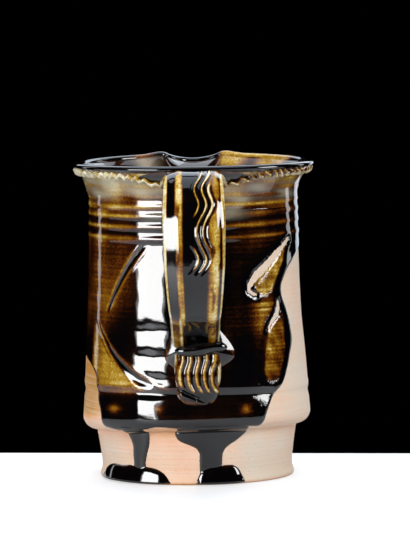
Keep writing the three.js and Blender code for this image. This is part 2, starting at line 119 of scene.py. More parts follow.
def put_mesh(name, points, quads, tris=None, **fields):
    """Puts points in millimetres and their faces into a smooth mesh, faces outwards, with its attributes."""
    tris = np.zeros((0, 3), int) if tris is None else tris
    a, b, c, d = (points[quads[:, k]] for k in range(4))
    e, f, g = (points[tris[:, k]] for k in range(3))
    volume = np.sum(np.cross(a, b) * c) + np.sum(np.cross(a, c) * d) + np.sum(np.cross(e, f) * g)
    if volume < 0:
        quads, tris = quads[:, ::-1], tris[:, ::-1]
    corners = np.concatenate([quads.ravel(), tris.ravel()])
    sizes = np.concatenate([np.full(len(quads), 4), np.full(len(tris), 3)])
    mesh = bpy.data.meshes.new(name)
    mesh.vertices.add(len(points))
    mesh.vertices.foreach_set("co", (points * MM).ravel())
    mesh.loops.add(len(corners))
    mesh.loops.foreach_set("vertex_index", corners)
    mesh.polygons.add(len(sizes))
    mesh.polygons.foreach_set("loop_start", np.concatenate([[0], np.cumsum(sizes)[:-1]]))
    mesh.polygons.foreach_set("use_smooth", np.ones(len(sizes), bool))
    for key, values in fields.items():
        mesh.attributes.new(key, "FLOAT", "POINT").data.foreach_set("value", np.ravel(values))
    mesh.update(calc_edges=True)
    return mesh


def put_tube(name, points, tips, **fields):
    """A grid that wraps round, closed by a tip at each end; a field is its values and the tips' value."""
    rows, cols = points.shape[:2]
    for key, (values, at_tips) in fields.items():
        fields[key] = np.append(np.broadcast_to(values, (rows, cols)), [at_tips, at_tips])
    points = np.concatenate([points.reshape(-1, 3), tips])
    return put_mesh(name, points, grid_quads(rows, cols), end_fans(rows, cols), **fields)


def add_piece(mesh, material, slot, *nodes):
    """Makes an object of the mesh that rides on the pitcher's one body and stands for CAD nodes."""
    piece = bpy.data.objects.new(mesh.name, mesh)
    bpy.context.scene.collection.objects.link(piece)
    mesh.materials.append(material)
    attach(piece, "root")
    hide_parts(*nodes)
    print(f"{mesh.name}: {len(mesh.vertices)} points, {len(mesh.polygons)} faces")


# %% [markdown]
# ## The camera
# The photograph was taken from the handle's side with a long lens, a little above the rim, so the foot is
# seen from about seven degrees up and the rim from about three. The pitcher leans slightly in the picture,
# which a small roll of the camera gives.

# %% Camera
CAMERA_AT = Vector((0.0, -2.49, 0.307))  # m
CAMERA_AIM = Vector((0.0060, 0.0, 0.117))  # m
CAMERA_ROLL = np.radians(0.8)
CAMERA_LENS = 376.7  # mm on a 36 mm wide sensor

camera = bpy.data.objects.new("camera", bpy.data.cameras.new("camera"))
bpy.context.scene.collection.objects.link(camera)
camera.data.sensor_fit = "HORIZONTAL"
camera.data.sensor_width = 36.0
camera.data.lens = CAMERA_LENS
camera.data.clip_start = 0.05
camera.data.clip_end = 20.0
turned = (CAMERA_AIM - CAMERA_AT).to_track_quat("-Z", "Y").to_matrix().to_4x4()
camera.matrix_world = Matrix.Translation(CAMERA_AT) @ turned @ Matrix.Rotation(-CAMERA_ROLL, 4, "Z")
bpy.context.scene.camera = camera
bpy.context.scene.view_settings.view_transform = "Standard"
print("camera stands", round((CAMERA_AIM - CAMERA_AT).length, 3), "m away")

# %% [markdown]
# ## Finishes
# Two materials make the whole pitcher. The iron glaze is one recipe that changes colour with its thickness:
# where it broke thin over an edge it fired cream and gold, and where it pooled it fired brown and black. So
# each piece carries a thickness, `film`, from 0 to 1, and a colour ramp turns it into the colour. A second
# attribute is painted sheen: a pale grey painted reflection on the collar's outer band and beside the strap,
# and painted highlights inside the lip. `pits` says where the glaze's skin is pitted; a mesh without these
# reads as 0. The clay is bare and dry to the touch, and its flame attribute says where the flame and the
# glaze's vapour browned it, with a painted shadow line at the very base of the foot.

# %% Helpers for finishes


def paint(code):
    """An sRGB hex colour as the linear RGBA that the shader wants."""
    part = np.array([int(code[k : k + 2], 16) for k in (1, 3, 5)]) / 255.0
    linear = np.where(part <= 0.04045, part / 12.92, ((part + 0.055) / 1.055) ** 2.4)
    return (*linear, 1.0)


def repeats(size):
    """How often a pattern of this size in millimetres comes in one metre, which is the scale a node wants."""
    return 1.0 / (size * MM)


def feed(tree, node, inputs):
    """Gives a node's inputs their values, or links them to the sockets that feed them."""
    for key, value in inputs.items():
        if isinstance(value, bpy.types.NodeSocket):
            tree.links.new(value, node.inputs[key])
        else:
            node.inputs[key].default_value = value


def add_node(tree, kind, inputs=None, stops=None, **settings):
    """Adds one shader node: settings are its options, inputs are values or the sockets that feed it."""
    made = tree.nodes.new("ShaderNode" + kind)
    for key, value in settings.items():
        setattr(made, key, value)
    feed(tree, made, inputs or {})
    if stops:
        ramp = made.color_ramp.elements
        for place, code in stops[1:-1]:
            ramp.new(place).color = paint(code)
        for end in (0, -1):
            ramp[end].position, ramp[end].color = stops[end][0], paint(stops[end][1])
    return made


def new_material(name):
    """An empty material with a Principled shader joined to its output."""
    made = bpy.data.materials.new(name)
    made.use_nodes = True
    made.node_tree.nodes.clear()
    shader = add_node(made.node_tree, "BsdfPrincipled")
    add_node(made.node_tree, "OutputMaterial", {"Surface": shader.outputs[0]})
    return made, made.node_tree, shader


# %% Iron glaze
# Iron-rich glaze, poured and fired to stoneware heat: a thick glassy coat that mirrors the studio, streaked
# downwards where it ran, with the clay's texture showing as gold where it broke thin.
GLAZE_COLOURS = [
    (0.00, "#e6dcbc"), (0.08, "#d8c078"), (0.18, "#bb932c"), (0.30, "#8f6412"),
    (0.44, "#69370a"), (0.60, "#381706"), (0.78, "#0f0704"), (0.95, "#050406"),
]
RUN_SCALE = (repeats(6.667), repeats(6.667), repeats(71.43))  # streaks 7 mm wide, 71 mm long
TURN_SCALE = (repeats(45.45), repeats(45.45), repeats(2.381))  # the wheel's lines, 2.4 mm apart
SPECKLE_SCALE = repeats(1.111)  # the clay's grain under the glaze, coarser than it is so that it shows
PIT_SCALE = repeats(0.909)  # pits of 0.9 mm

iron_glaze, tree, shader = new_material("iron_glaze")
film, haze, pits = (
    add_node(tree, "Attribute", attribute_name=name).outputs["Fac"] for name in ("film", "haze", "pits")
)
place = add_node(tree, "TexCoord").outputs["Object"]
run_place = add_node(tree, "Mapping", {"Vector": place, "Scale": RUN_SCALE}).outputs[0]
turn_place = add_node(tree, "Mapping", {"Vector": place, "Scale": TURN_SCALE}).outputs[0]
runs, grain, turns, grit = (
    add_node(tree, "TexNoise", {"Vector": at, "Scale": scale, "Detail": detail}).outputs["Fac"]
    for at, scale, detail in (
        (run_place, 1.0, 4.0), (place, SPECKLE_SCALE, 3.0), (turn_place, 1.0, 4.0), (place, PIT_SCALE, 1.0),
    )
)
uneven = -0.52  # brings the mean of the three noises back to about nothing
for noise, share in ((runs, 0.24), (grain, 0.42), (turns, 0.34)):
    uneven = add_node(tree, "Math", {0: noise, 1: share, 2: uneven}, operation="MULTIPLY_ADD").outputs[0]
depth = add_node(tree, "Math", {0: film, 1: uneven}, operation="ADD", use_clamp=True).outputs[0]
tint = add_node(tree, "ValToRGB", {"Fac": depth}, stops=GLAZE_COLOURS).outputs["Color"]
# painted reflection: the pale grey mixed in stands for the white table mirrored in the collar and beside the
# strap, and for highlights inside the lip
tint = add_node(tree, "Mix", {0: haze, 6: tint, 7: paint("#b2a98f")}, data_type="RGBA").outputs[2]
gloss = add_node(tree, "MapRange", {"Value": depth, 1: 0.0, 2: 0.5, 3: 0.20, 4: 0.05}).outputs[0]
pitted = add_node(tree, "Math", {0: grit, 1: pits}, operation="MULTIPLY").outputs[0]
pitted = add_node(tree, "Math", {0: pitted, 1: 14.0, 2: uneven}, operation="MULTIPLY_ADD").outputs[0]
relief = add_node(tree, "Bump", {"Height": pitted, "Strength": 0.05, "Distance": 0.0004}).outputs[0]
GLASS_IOR = 1.6  # a dense glass, which mirrors the table as grey
feed(tree, shader, {"Base Color": tint, "Roughness": gloss, "Normal": relief, "IOR": GLASS_IOR})
print("iron glaze:", len(tree.nodes), "nodes")

# %% Stoneware clay
# Buff stoneware, wiped smooth by the potter's fingers and fired bare: matt, slightly pink, with iron specks
# and the fine lines of the last turn of the wheel.
CLAY_COLOURS = [(0.0, "#ead8c3"), (0.25, "#f3d0b3"), (0.5, "#f3be9b"), (0.75, "#dfa257"), (1.0, "#c4882b")]
LINE_SCALE = (repeats(83.33), repeats(83.33), repeats(1.111))  # fine lines, 1.1 mm apart
CLOUD_SCALE = repeats(25.0)  # patches of flame colour, 25 mm wide
GRIT_SCALE = repeats(0.909)  # sand of 0.9 mm
SPECK_SCALE = repeats(3.030)  # iron specks, 3 mm apart

bare_clay, tree, shader = new_material("stoneware_clay")
flash = add_node(tree, "Attribute", attribute_name="flash").outputs["Fac"]
place = add_node(tree, "TexCoord").outputs["Object"]
line_place = add_node(tree, "Mapping", {"Vector": place, "Scale": LINE_SCALE}).outputs[0]
cloud, grit, lines = (
    add_node(tree, "TexNoise", {"Vector": at, "Scale": scale, "Detail": detail}).outputs["Fac"]
    for at, scale, detail in ((place, CLOUD_SCALE, 4.0), (place, GRIT_SCALE, 2.0), (line_place, 1.0, 3.0))
)
speck = add_node(tree, "TexVoronoi", {"Vector": place, "Scale": SPECK_SCALE}).outputs["Distance"]
speck = add_node(tree, "MapRange", {"Value": speck, 1: 0.05, 2: 0.11, 3: 0.5, 4: 0.0}).outputs[0]
toast_and_shade = add_node(tree, "Math", {0: cloud, 1: 0.8, 2: -0.27}, operation="MULTIPLY_ADD").outputs[0]
# the flame colour, with a painted shadow line at the foot's base
toast_and_shade = add_node(tree, "Math", {0: toast_and_shade, 1: flash}, operation="ADD", use_clamp=True).outputs[0]
body = add_node(tree, "ValToRGB", {"Fac": toast_and_shade}, stops=CLAY_COLOURS).outputs["Color"]
streak = add_node(tree, "MapRange", {"Value": lines, 1: 0.35, 2: 0.7, 3: 0.0, 4: 0.26}).outputs[0]
lined = add_node(tree, "Mix", {0: streak, 6: body, 7: paint("#f3ebe2")}, data_type="RGBA").outputs[2]
specked = add_node(tree, "Mix", {0: speck, 6: lined, 7: paint("#5c3c26")}, data_type="RGBA").outputs[2]
rough = add_node(tree, "Math", {0: lines, 1: grit}, operation="ADD").outputs[0]
relief = add_node(tree, "Bump", {"Height": rough, "Strength": 0.5, "Distance": 0.0004}).outputs[0]
DRY_SHINE = 0.2  # dry clay hardly shines
feed(tree, shader, {"Base Color": specked, "Normal": relief, "Roughness": 0.85, "IOR": 1.45})
feed(tree, shader, {"Specular IOR Level": DRY_SHINE})
print("stoneware clay:", len(tree.nodes), "nodes")

# %% [markdown]
# ## The wall's curve
# A thrown wall is a curve turned about an axis. The foot is nearly straight, a rounded step stands over it,
# and the wall narrows up to the neck, where the collar flares out. The step isn't level on this pitcher: it
# sits a little higher on the handle's side. Angles are counted from the handle, positive to the right.

# %% The wall's curve
FOOT_EDGE = reach("floor_slab")[1][0]
STEP_Z = reach("foot_wall")[1][2]
FOOT_TOP = reach("foot_wall")[1][0]
BELLY = reach("body_wall")[1][0]
COLLAR_Z = reach("body_wall")[1][2]
RIM = reach("flared_rim")[1][0]
NECK = 59.8  # mm, the wall's radius under the collar
FOOT_LOW = 55.2  # mm, the foot's radius above its edge
STEP_RISE = 7.5  # mm, from the step's corner to the belly's widest ring
BELLY_Z = STEP_Z + STEP_RISE
COLLAR = 22.0  # mm, from the neck up to the rim's edge
WALL = 5.5  # mm, how thick the wall is
FLARE = 3.4  # how late the collar turns outwards
RING_HEIGHTS = (160.4, 154.6, 148.4, 141.6)  # mm, the throwing rings' crests
JOIN_Z = 157.2  # mm, the ring where wall pieces and collar pieces meet
FINGER_DENTS = (
    (-31.0, 41.0, 9.0, 12.0, -1.0), (41.0, 36.0, 11.0, 9.0, -0.8), (-26.0, 87.5, 14.0, 4.5, 0.34),
    (-26.0, 70.5, 14.0, 5.5, 0.50), (-26.0, 56.0, 14.0, 6.5, 0.80), (32.0, 122.0, 13.0, 12.0, 0.40),
    (22.0, 76.0, 11.0, 10.0, 0.40),
)  # mm round the wall, mm up, half width, half height and depth


def foot_radius(z):
    """The foot's radius: a low swell at the base, and a widening towards the step to the power 1.2."""
    widening = np.clip((z - 8.0) / 19.5, 0, 1) ** 1.2
    return FOOT_LOW + 1.2 * hump(z, 1.5, 3.0) + (FOOT_TOP - FOOT_LOW) * widening


def step_curve(angle):
    """The step's radius and height: an ellipse's quarter, from the corner at 0 to the belly at 90 degrees."""
    return FOOT_TOP + (BELLY - FOOT_TOP) * np.sin(angle), BELLY_Z - STEP_RISE * np.cos(angle)


def wall_radius(z):
    """The neck's radius, plus a share that grows below it to the power 1.6 and above it to the flare's."""
    below = np.clip((COLLAR_Z - z) / (COLLAR_Z - BELLY_Z), 0.0, None)
    above = np.clip((z - COLLAR_Z) / COLLAR, 0.0, None)
    return NECK + (BELLY - NECK) * below**1.6 + (RIM - NECK) * above**FLARE


def ring_tilt(angle):
    """How far the throwing rings rise and fall on their way round: one wave of a sine."""
    return 0.8 * np.sin(angle - 0.6)


def wall_marks(angle, z):
    """What the fingers left on the wall: rings at the neck, dents, and a ledge over a groove at the belly."""
    ledge = z + 2.0 * np.sin(angle)
    shelf = 0.35 * (1.0 - 0.85 * hump(angle, 0.75, 0.25)) * hump(ledge, 53.2, 2.0)
    marks = (1.0 + 0.3 * np.sin(2.0 * angle + 0.8)) * (shelf - 0.75 * hump(ledge, 48.8, 2.4))
    for across, up, wide, tall, dent in FINGER_DENTS:
        marks = marks - dent * hump(ROUND_R * angle, across, wide) * hump(z, up, tall)
    for height in RING_HEIGHTS:
        share = 0.38 + 0.22 * hump(angle, -0.31, 0.13) + 0.12 * round_ripple(angle, height, 15.0, 1.0, 2.0)
        share = share * (1.0 - 0.9 * hump(angle, 0.66, 0.36))
        marks = marks + share * hump((z - height - ring_tilt(angle)) / 1.7)
    marks = marks + 0.30 * round_ripple(angle, z, 24.0, 20.0, 2.0)
    return marks + 0.07 * round_ripple(angle, z, 9.0, 9.0, 4.0)


def step_lift(angle, z):
    """How far the step's level rises, with the angle's cosine and sine; it fades at the base and above."""
    level = 1.0 + 2.8 * np.cos(angle) + 1.0 * np.sin(angle)
    return level * soft_step(z, 4.0, 20.0) * (1.0 - soft_step(z, 58.0, 45.0))


def turn(radius, z, angle):
    """Points at that radius and height, turned about the axis from the handle's side."""
    return np.stack(np.broadcast_arrays(radius * np.sin(angle), -radius * np.cos(angle), z), -1)


def over_curve(radius, z, angle, height):
    """Points a height above a turned curve, along the curve's own normal."""
    dr, dz = np.gradient(radius, axis=0), np.gradient(z, axis=0)
    size = np.hypot(dr, dz)
    return turn(radius + height * dz / size, z - height * dr / size, angle)


COLUMNS = 400  # points round the pitcher, closer together on the handle's side
bearings = np.linspace(-180, 180, 2001)
crowding = 1.0 + 1.1 * (1.0 - soft_step(np.abs(bearings), 85.0, 35.0))
share = np.cumsum(crowding) / np.sum(crowding)
AROUND = np.interp(np.arange(COLUMNS) / COLUMNS, share, np.radians(bearings))[None, :]
print(f"wall from {BELLY:.1f} mm at the belly to {NECK:.1f} mm at the neck, {AROUND.size} columns round it")

# %% [markdown]
# ## The thrown pot
# Floor, foot and wall are one thrown piece of clay. Its curve starts under the floor, goes round the foot's
# edge, over the step, up the wall, and comes down again inside, so one turned grid with two poles is the
# whole closed pot. The flame colour grows towards the glaze, where the bare clay was browned most, and a
# painted shadow darkens a thin line at the very base, where the foot stands on the board.

# %% The pot's curve
HOLLOW = 0.9  # mm, how far the floor's underside is hollowed
UNDER_COLLAR = 3.0  # mm, how far the wall goes on inside the collar
WELL_Z = 16.0  # mm, where the inside starts to turn into the floor
LINER = 0.8  # mm, the glaze inside

under_r = np.linspace(4.0, FOOT_EDGE - 1.8, 12)
edge_turn = np.radians(np.linspace(-90, -10, 6))
foot_z = np.linspace(1.5, STEP_Z - 0.4, 34)
step_r, step_z = step_curve(np.radians(np.linspace(0, 94.6, 17)))
wall_z = np.linspace(BELLY_Z + 1.6, JOIN_Z + UNDER_COLLAR, 110)
outer_r = np.concatenate([
    under_r, FOOT_EDGE - 1.6 + 1.5 * np.cos(edge_turn), foot_radius(foot_z), step_r, wall_radius(wall_z),
])
outer_z = np.concatenate([
    HOLLOW - HOLLOW * (under_r / under_r[-1]) ** 2, 1.5 + 1.5 * np.sin(edge_turn), foot_z, step_z, wall_z,
])

inner_z = np.linspace(JOIN_Z + UNDER_COLLAR, WELL_Z, 40)
inside_r = wall_radius(np.maximum(inner_z, BELLY_Z)) - WALL + LINER
inside_r = inside_r - 10.0 * soft_step((48.0 - inner_z) / 17.0)
well_turn = np.radians(np.linspace(0, 90, 8))[1:]
well_r = inside_r[-1] - 7.0 * (1.0 - np.cos(well_turn))
well_z = WELL_Z - 8.5 * np.sin(well_turn)
floor_r = np.linspace(44.0, 4.0, 8)
FLOOR_Z = well_z[-1]
floor_z = np.full(floor_r.size, FLOOR_Z)
pot_r = np.concatenate([outer_r, inside_r, well_r, floor_r])[:, None]
pot_z = np.concatenate([outer_z, inner_z, well_z, floor_z])[:, None]
print(f"the pot's curve has {pot_r.size} points, and its floor is {FLOOR_Z:.1f} mm up")

# %% Thrown pot
outside = (np.arange(len(pot_r)) < len(outer_r))[:, None]
lifted = pot_z + step_lift(AROUND, pot_z) * outside
worked = wall_marks(AROUND, pot_z) * soft_step(pot_z, 26.0, 6.0)
worked = worked + 0.10 * np.sin(pot_z * 2.9 + AROUND) * soft_step(pot_z, 3.0, 3.0) * (pot_z < STEP_Z)
tucked = 0.6 * soft_step(pot_z, JOIN_Z, 2.0)
pot_points = turn(pot_r + (worked - tucked) * outside, lifted, AROUND)
poles = np.array([[0.0, 0.0, HOLLOW], [0.0, 0.0, FLOOR_Z]])
browned_and_shaded = 0.20 * hump(pot_z, 27.0, 6.0)
browned_and_shaded = browned_and_shaded + 1.05 * soft_step(pot_z, 30.0, 12.0) * hump(AROUND, -1.25, 0.4)
flamed = 0.32 * hump(AROUND, -0.25, 0.45) - 0.14 * hump(AROUND, 0.75, 0.4)
# the flame's colour on the foot, and a painted shadow: a dark line at the very base, where the foot stands on
# the board
browned_and_shaded = browned_and_shaded + flamed * (pot_z < 30.0) + 0.6 * hump(pot_z, 0.3, 0.9)
pot_mesh = put_tube("thrown_pot", pot_points, poles, flash=(browned_and_shaded, 0.0))
add_piece(pot_mesh, bare_clay, "bare_stoneware", "floor_slab", "foot_wall", "body_wall")

# %% [markdown]
# ## The iron coat on the wall
# The glaze is a real skin that lies on the clay and ends in a rounded bead, so it is made as a closed shell:
# an upper sheet, a lower sheet sunk in the clay, and a border between them. Where the glaze stops is a field,
# `cover`, which gives the distance in millimetres to the coat's edge. Two flanks stay bare. On the right the
# potter wiped two broad leaves through the wet glaze and bared the clay with two narrow strokes, and on the
# left drew two long arcs. Leaves and strokes are paths with a half width, so a distance draws them too.

# %% Coat shells


def shell_faces(keep, wrap):
    """Faces of a closed shell over a grid's kept cells: both sheets, and walls along the border."""
    rows, cells = keep.shape
    cols = cells if wrap else cells + 1
    count = (rows + 1) * cols
    i, j = np.meshgrid(np.arange(rows), np.arange(cells), indexing="ij")
    on = (j + 1) % cols
    a, b, c, d = i * cols + j, i * cols + on, (i + 1) * cols + on, (i + 1) * cols + j
    pad = np.pad(keep, ((1, 1), (0, 0)))
    west, east = np.roll(keep, 1, 1), np.roll(keep, -1, 1)
    if not wrap:
        west[:, 0] = False
        east[:, -1] = False
    parts = [np.stack([a, b, c, d], -1)[keep], count + np.stack([a, d, c, b], -1)[keep]]
    for open_side, p, q in ((pad[:-2], a, b), (pad[2:], c, d), (west, d, a), (east, b, c)):
        border = keep & ~open_side
        parts.append(np.stack([q, p, count + p, count + q], -1)[border])
    return np.concatenate(parts)


def closed_corners(keep):
    """The kept cells, and one more wherever two of them would meet at a corner alone."""
    keep = keep.copy()
    for here, there in ((keep[:-1], keep[1:]), (keep[1:], keep[:-1])):
        there |= here & np.roll(there, -1, 1) & ~np.roll(here, -1, 1)
    return keep


def put_shell(name, upper, lower, keep, wrap, **fields):
    """A closed shell between two sheets of points, without the points that no face uses."""
    quads = shell_faces(closed_corners(keep), wrap)
    points = np.concatenate([upper.reshape(-1, 3), lower.reshape(-1, 3)])
    used, quads = np.unique(quads, return_inverse=True)
    fields = {key: np.tile(np.ravel(value), 2)[used] for key, value in fields.items()}
    return put_mesh(name, points[used], quads.reshape(-1, 4), **fields)


def kept_cells(cover, wrap):
    """The grid's cells with a corner inside the glaze, or less than 0.8 mm outside its edge."""
    if wrap:
        cover = np.append(cover, cover[:, :1], 1)
    return np.maximum.reduce([cover[:-1, :-1], cover[1:, :-1], cover[:-1, 1:], cover[1:, 1:]]) > -0.8


def stroke(across, up, path):
    """Distance inside a wiped stroke: the half width at its path's nearest place, minus the way there."""
    inside = np.full(np.broadcast(across, up).shape, -99.0)
    for (x0, y0, half0), (x1, y1, half1) in zip(path[:-1], path[1:]):
        dx, dy = x1 - x0, y1 - y0
        t = np.clip(((across - x0) * dx + (up - y0) * dy) / (dx * dx + dy * dy), 0.0, 1.0)
        away = np.hypot(across - x0 - t * dx, up - y0 - t * dy)
        inside = np.maximum(inside, half0 + t * (half1 - half0) - away)
    return inside


def toward(film, value, share):
    """The film, moved towards a value by a share of the way."""
    return film + share * (value - film)


# %% The coat's edge
BARE_RIGHT, BARE_LEFT = 100.0, -98.0  # degrees, the middles of the bare flanks
RIGHT_HALVES = [
    (28, 66), (38, 63), (46, 58), (49.4, 55), (53.4, 49), (57.4, 47), (63, 44.1), (71.4, 41.5), (80, 38.4),
    (86.3, 38.9), (94.6, 40.4), (102.6, 43.9), (107, 46), (112, 46.6), (117, 43.5), (124.5, 36.5), (130, 25),
    (136, 1), (150, -60),
]  # mm up, half width in degrees
LEFT_HALVES = [
    (28, 43), (40, 41.5), (47, 37.5), (53, 36), (60, 34.5), (64, 32), (70, 20), (75, 0), (90, -60),
]
LEAVES = (
    [(65, 137, 1.0), (58, 129.3, 4.8), (52, 123.5, 6.2), (47.5, 119.7, 7.4), (43, 115, 8.6)],
    [
        (58.3, 99, 0.6), (56.7, 93.7, 3.6), (52.4, 86.3, 8.0), (51.2, 78.4, 9.0),
        (48.5, 69.3, 8.6), (45.8, 60.3, 6.9),
    ],
)  # mm round the wall, mm up, half width
WIPES = (
    [
        (68, 138.5, 0.8), (54.5, 131, 2.3), (45.5, 124, 2.0), (37, 118.5, 1.8),
        (33, 114, 1.4), (32.5, 110.5, 0.9), (37, 108.0, 0.4),
    ],
    [
        (54.4, 104.5, 0.8), (54.3, 100, 1.9), (52.4, 95.7, 1.9), (49, 92.6, 1.4),
        (45.8, 88.4, 1.0), (44.2, 86.2, 0.4),
    ],
)

coat_step_r, coat_step_z = step_curve(np.radians(np.linspace(24, 94.6, 13)))
coat_wall_z = np.concatenate([
    np.arange(BELLY_Z + 1.5, 58, 1.0), np.arange(58.2, 134, 1.15),
    np.arange(134.2, JOIN_Z - 0.2, 0.65), JOIN_Z + np.array([0.0, 0.7, 1.5, 2.5, 3.5]),
])
coat_z = np.concatenate([coat_step_z, coat_wall_z])[:, None]
coat_r = np.concatenate([coat_step_r, wall_radius(coat_wall_z)])[:, None]
run_up = np.append(0.0, np.cumsum(np.hypot(np.diff(coat_r[:, 0]), np.diff(coat_z[:, 0]))))[:, None]
degrees = np.degrees(AROUND)
ACROSS = ROUND_R * AROUND  # mm round the wall

wander = 0.9 * round_ripple(AROUND, coat_z, 9.0, 9.0, 5.0)
wander = wander + 0.35 * round_ripple(AROUND, coat_z, 2.6, 2.6, 1.0)
past_right = (np.abs(degrees - BARE_RIGHT) - smooth_curve(coat_z, RIGHT_HALVES)) * 1.1 + wander
past_left = (np.abs(degrees - BARE_LEFT) - smooth_curve(coat_z, LEFT_HALVES)) * 1.1 + wander
corners = soft_step((-40.0 - degrees) / 20.0) + soft_step(degrees, 35.0, 20.0)
past_edge = run_up - 2.2 - 1.0 * np.sin(3.0 * AROUND + 1.0) - 0.5 * wander
past_edge = past_edge - 2.2 * hump(degrees, -19.0, 8.0) - 3.5 * corners
ragged = 0.6 * wander + 0.4 * ripple(ACROSS / 0.7, coat_z / 0.7, 3.0)
edges = [past_right, past_left, past_edge] + [ragged - stroke(ACROSS, coat_z, path) for path in WIPES]
cover = -1.2 * np.log(sum(np.exp(-np.clip(past, -30, 30) / 1.2) for past in edges))
leaves = [stroke(ACROSS + 1.0 * wander, coat_z + 0.6 * wander, path) for path in LEAVES]
print(f"the coat covers {np.mean(cover > 0):.0%} of its grid")

# %% The coat's thickness
tilt = ring_tilt(AROUND) + 0.3
thinned = 0.45 * hump(degrees, -54.0, 19.0) + 0.24 * hump(degrees, -88.0, 18.0)
film = 0.89 - thinned * soft_step(coat_z, 70.0, 40.0)
film = film + 0.13 * round_ripple(AROUND, coat_z, 5.0, 16.0, 6.0)
film = film - 0.18 * soft_step(np.abs(degrees), 105.0, 30.0) * soft_step(coat_z, 60.0, 60.0)
for above, below, pooling in zip(RING_HEIGHTS[:-1], RING_HEIGHTS[1:], (0.10, 0.55, 0.55)):
    film = toward(film, 1.0, pooling * hump((coat_z - (above + below) / 2 - tilt) / 1.7))
for height in RING_HEIGHTS:
    worn = 0.42 + 0.26 * hump(degrees, -58.0, 26.0) + 0.12 * round_ripple(AROUND, height, 9.0, 1.0, 3.0)
    film = toward(film, 0.08, worn * hump((coat_z - height - tilt) / 1.2))
film = film + 0.05 * np.sin(coat_z * 2.2 + 0.5 * np.sin(AROUND * 3)) * soft_step(coat_z, 60.0, 20.0)
print(f"the film goes from {film.min():.2f} to {film.max():.2f}")

# %% Drawn arcs
# an arc's centre, radius, lowest and highest end, half gap at each end, all in mm, and its two edges' film
LONG_ARC = ((97.0, 23.0), 171.6, (97.0, 140.0), (1.5, 2.7), (0.26, 0.20))
SHORT_ARC = ((33.6, 156.0), 118.5, (50.5, 95.0), (3.4, 0.7), (0.24, 0.10))


def from_arc(centre, radius):
    """How far each point of the coat lies outside a circle drawn on the unrolled wall."""
    return np.hypot(ACROSS - centre[0], coat_z - centre[1]) - radius


relief = np.zeros(film.shape)
for centre, radius, (low, high), gap, films in (LONG_ARC, SHORT_ARC):
    off = from_arc(centre, radius)
    half = gap[0] + (gap[1] - gap[0]) * soft_step((coat_z - low) / (high - low))
    near = soft_step(coat_z, low, 5.0) * soft_step((high - coat_z) / 8.0)
    near = near * (np.abs(off) < 9.0) * (ACROSS < -13.0)
    for side, thin in zip((-1.0, 1.0), films):
        crest = near * hump((off - side * half) / 1.2)
        film = toward(film, thin, crest)
        relief = relief + 0.26 * crest
    groove = near * hump(off / (0.75 * half))
    film = toward(film, 0.97, groove)
    relief = relief - 0.45 * groove
field = soft_step(from_arc(*SHORT_ARC[:2]), 2.6, 1.6) * soft_step((-24.0 - ACROSS) / 14.0)
field = field * soft_step(coat_z, 53.0, 3.0) * soft_step((96.0 - coat_z) / 10.0)
field = field * soft_step(ACROSS, -77.0, 8.0)
film = toward(film, 0.27 + 0.09 * ripple(ACROSS / 5.0, coat_z / 12.0, 3.0), field)
print(f"the arcs stand {relief.max():.2f} mm proud and are {-relief.min():.2f} mm deep")

# %% Wiped leaves
THIN_PATCHES = (
    (0.30, 40.0, 9.0, 91.0, 9.0), (0.16, 40.0, 12.0, 80.0, 24.0), (0.50, -42.0, 24.0, 52.0, 2.6),
    (0.60, -49.0, 5.0, 41.5, 3.0), (0.60, -21.0, 3.4, 41.5, 3.0), (0.60, 27.0, 3.2, 40.0, 3.0),
)  # how much thinner, mm round the wall, half width, mm up, half height


def patch(across, wide, up, tall):
    """A soft oval patch on the unrolled wall: a hump across times a hump upwards."""
    return hump(ACROSS, across, wide) * hump(coat_z, up, tall)


for inside, thin in zip(leaves, (0.27, 0.52)):
    outline = hump(inside, -2.2, 2.2) * (1.0 - 0.9 * hump(coat_z, 105.0, 4.5))
    gold = soft_step(inside, 0.2, 1.6)
    inner = thin + 0.06 * np.sin(coat_z * 2.4 + 0.05 * ACROSS)
    inner = inner + 0.12 * ripple(ACROSS / 2.2, coat_z / 2.2, 7.0)
    film = film + gold * (inner - film) + outline * (1.0 - film)
    relief = relief - 0.20 * gold + 0.12 * outline
leafy = np.maximum(*(soft_step(inside, -1.5, 2.5) for inside in leaves))
rowed = patch(42.0, 9.0, 102.0, 4.5) * (0.6 + 0.4 * np.sin(coat_z * 2 * np.pi / 3.4))
film = film - 0.65 * rowed - 0.16 * hump(ACROSS, 45.0, 22.0) * soft_step(coat_z, 128.0, 14.0)
for share, across, wide, up, tall in THIN_PATCHES:
    film = film - share * patch(across, wide, up, tall)
film = np.clip(film + 0.6 * (1.0 - leafy) * hump(cover, 1.4, 1.6), 0.0, 1.0)
print(f"the leaves take {np.mean(leafy > 0.5):.0%} of the grid")

# %% Coat on the wall
COAT = 0.75  # mm, how thick the glaze lies on the clay
bead = 0.18 * (1.0 - leafy) * hump(cover, 1.8, 1.6)
thick = np.where(cover > 0, COAT * (1.0 - np.exp(-cover / 1.1)) + bead, 0.9 * cover)
pooled = 0.03 * round_ripple(AROUND, coat_z, 2.3, 2.6, 9.0)
pooled = pooled + 0.06 * round_ripple(AROUND, coat_z, 0.5, 0.5, 3.0) * patch(39.0, 9.0, 41.0, 6.0)
pooled = pooled + 0.012 * np.sin(coat_z * 2.6 + 3.0 * AROUND)
thick = np.maximum(thick + (relief + pooled) * soft_step(cover / 2.0), -0.9)
thick = thick - 0.9 * soft_step(coat_z, JOIN_Z, 2.4)
marks = wall_marks(AROUND, coat_z) * soft_step(coat_z, 26.0, 6.0)
coat_up = coat_z + step_lift(AROUND, coat_z)
upper = over_curve(coat_r + marks, coat_up, AROUND, thick)
lower = over_curve(coat_r + marks, coat_up, AROUND, -1.0)
pits = 0.6 * hump(ACROSS, 43.0, 10.0) * (1.0 - 0.6 * soft_step(coat_z, 120.0, 12.0))
beside_strap = hump(np.abs(degrees), 19.0, 9.0)
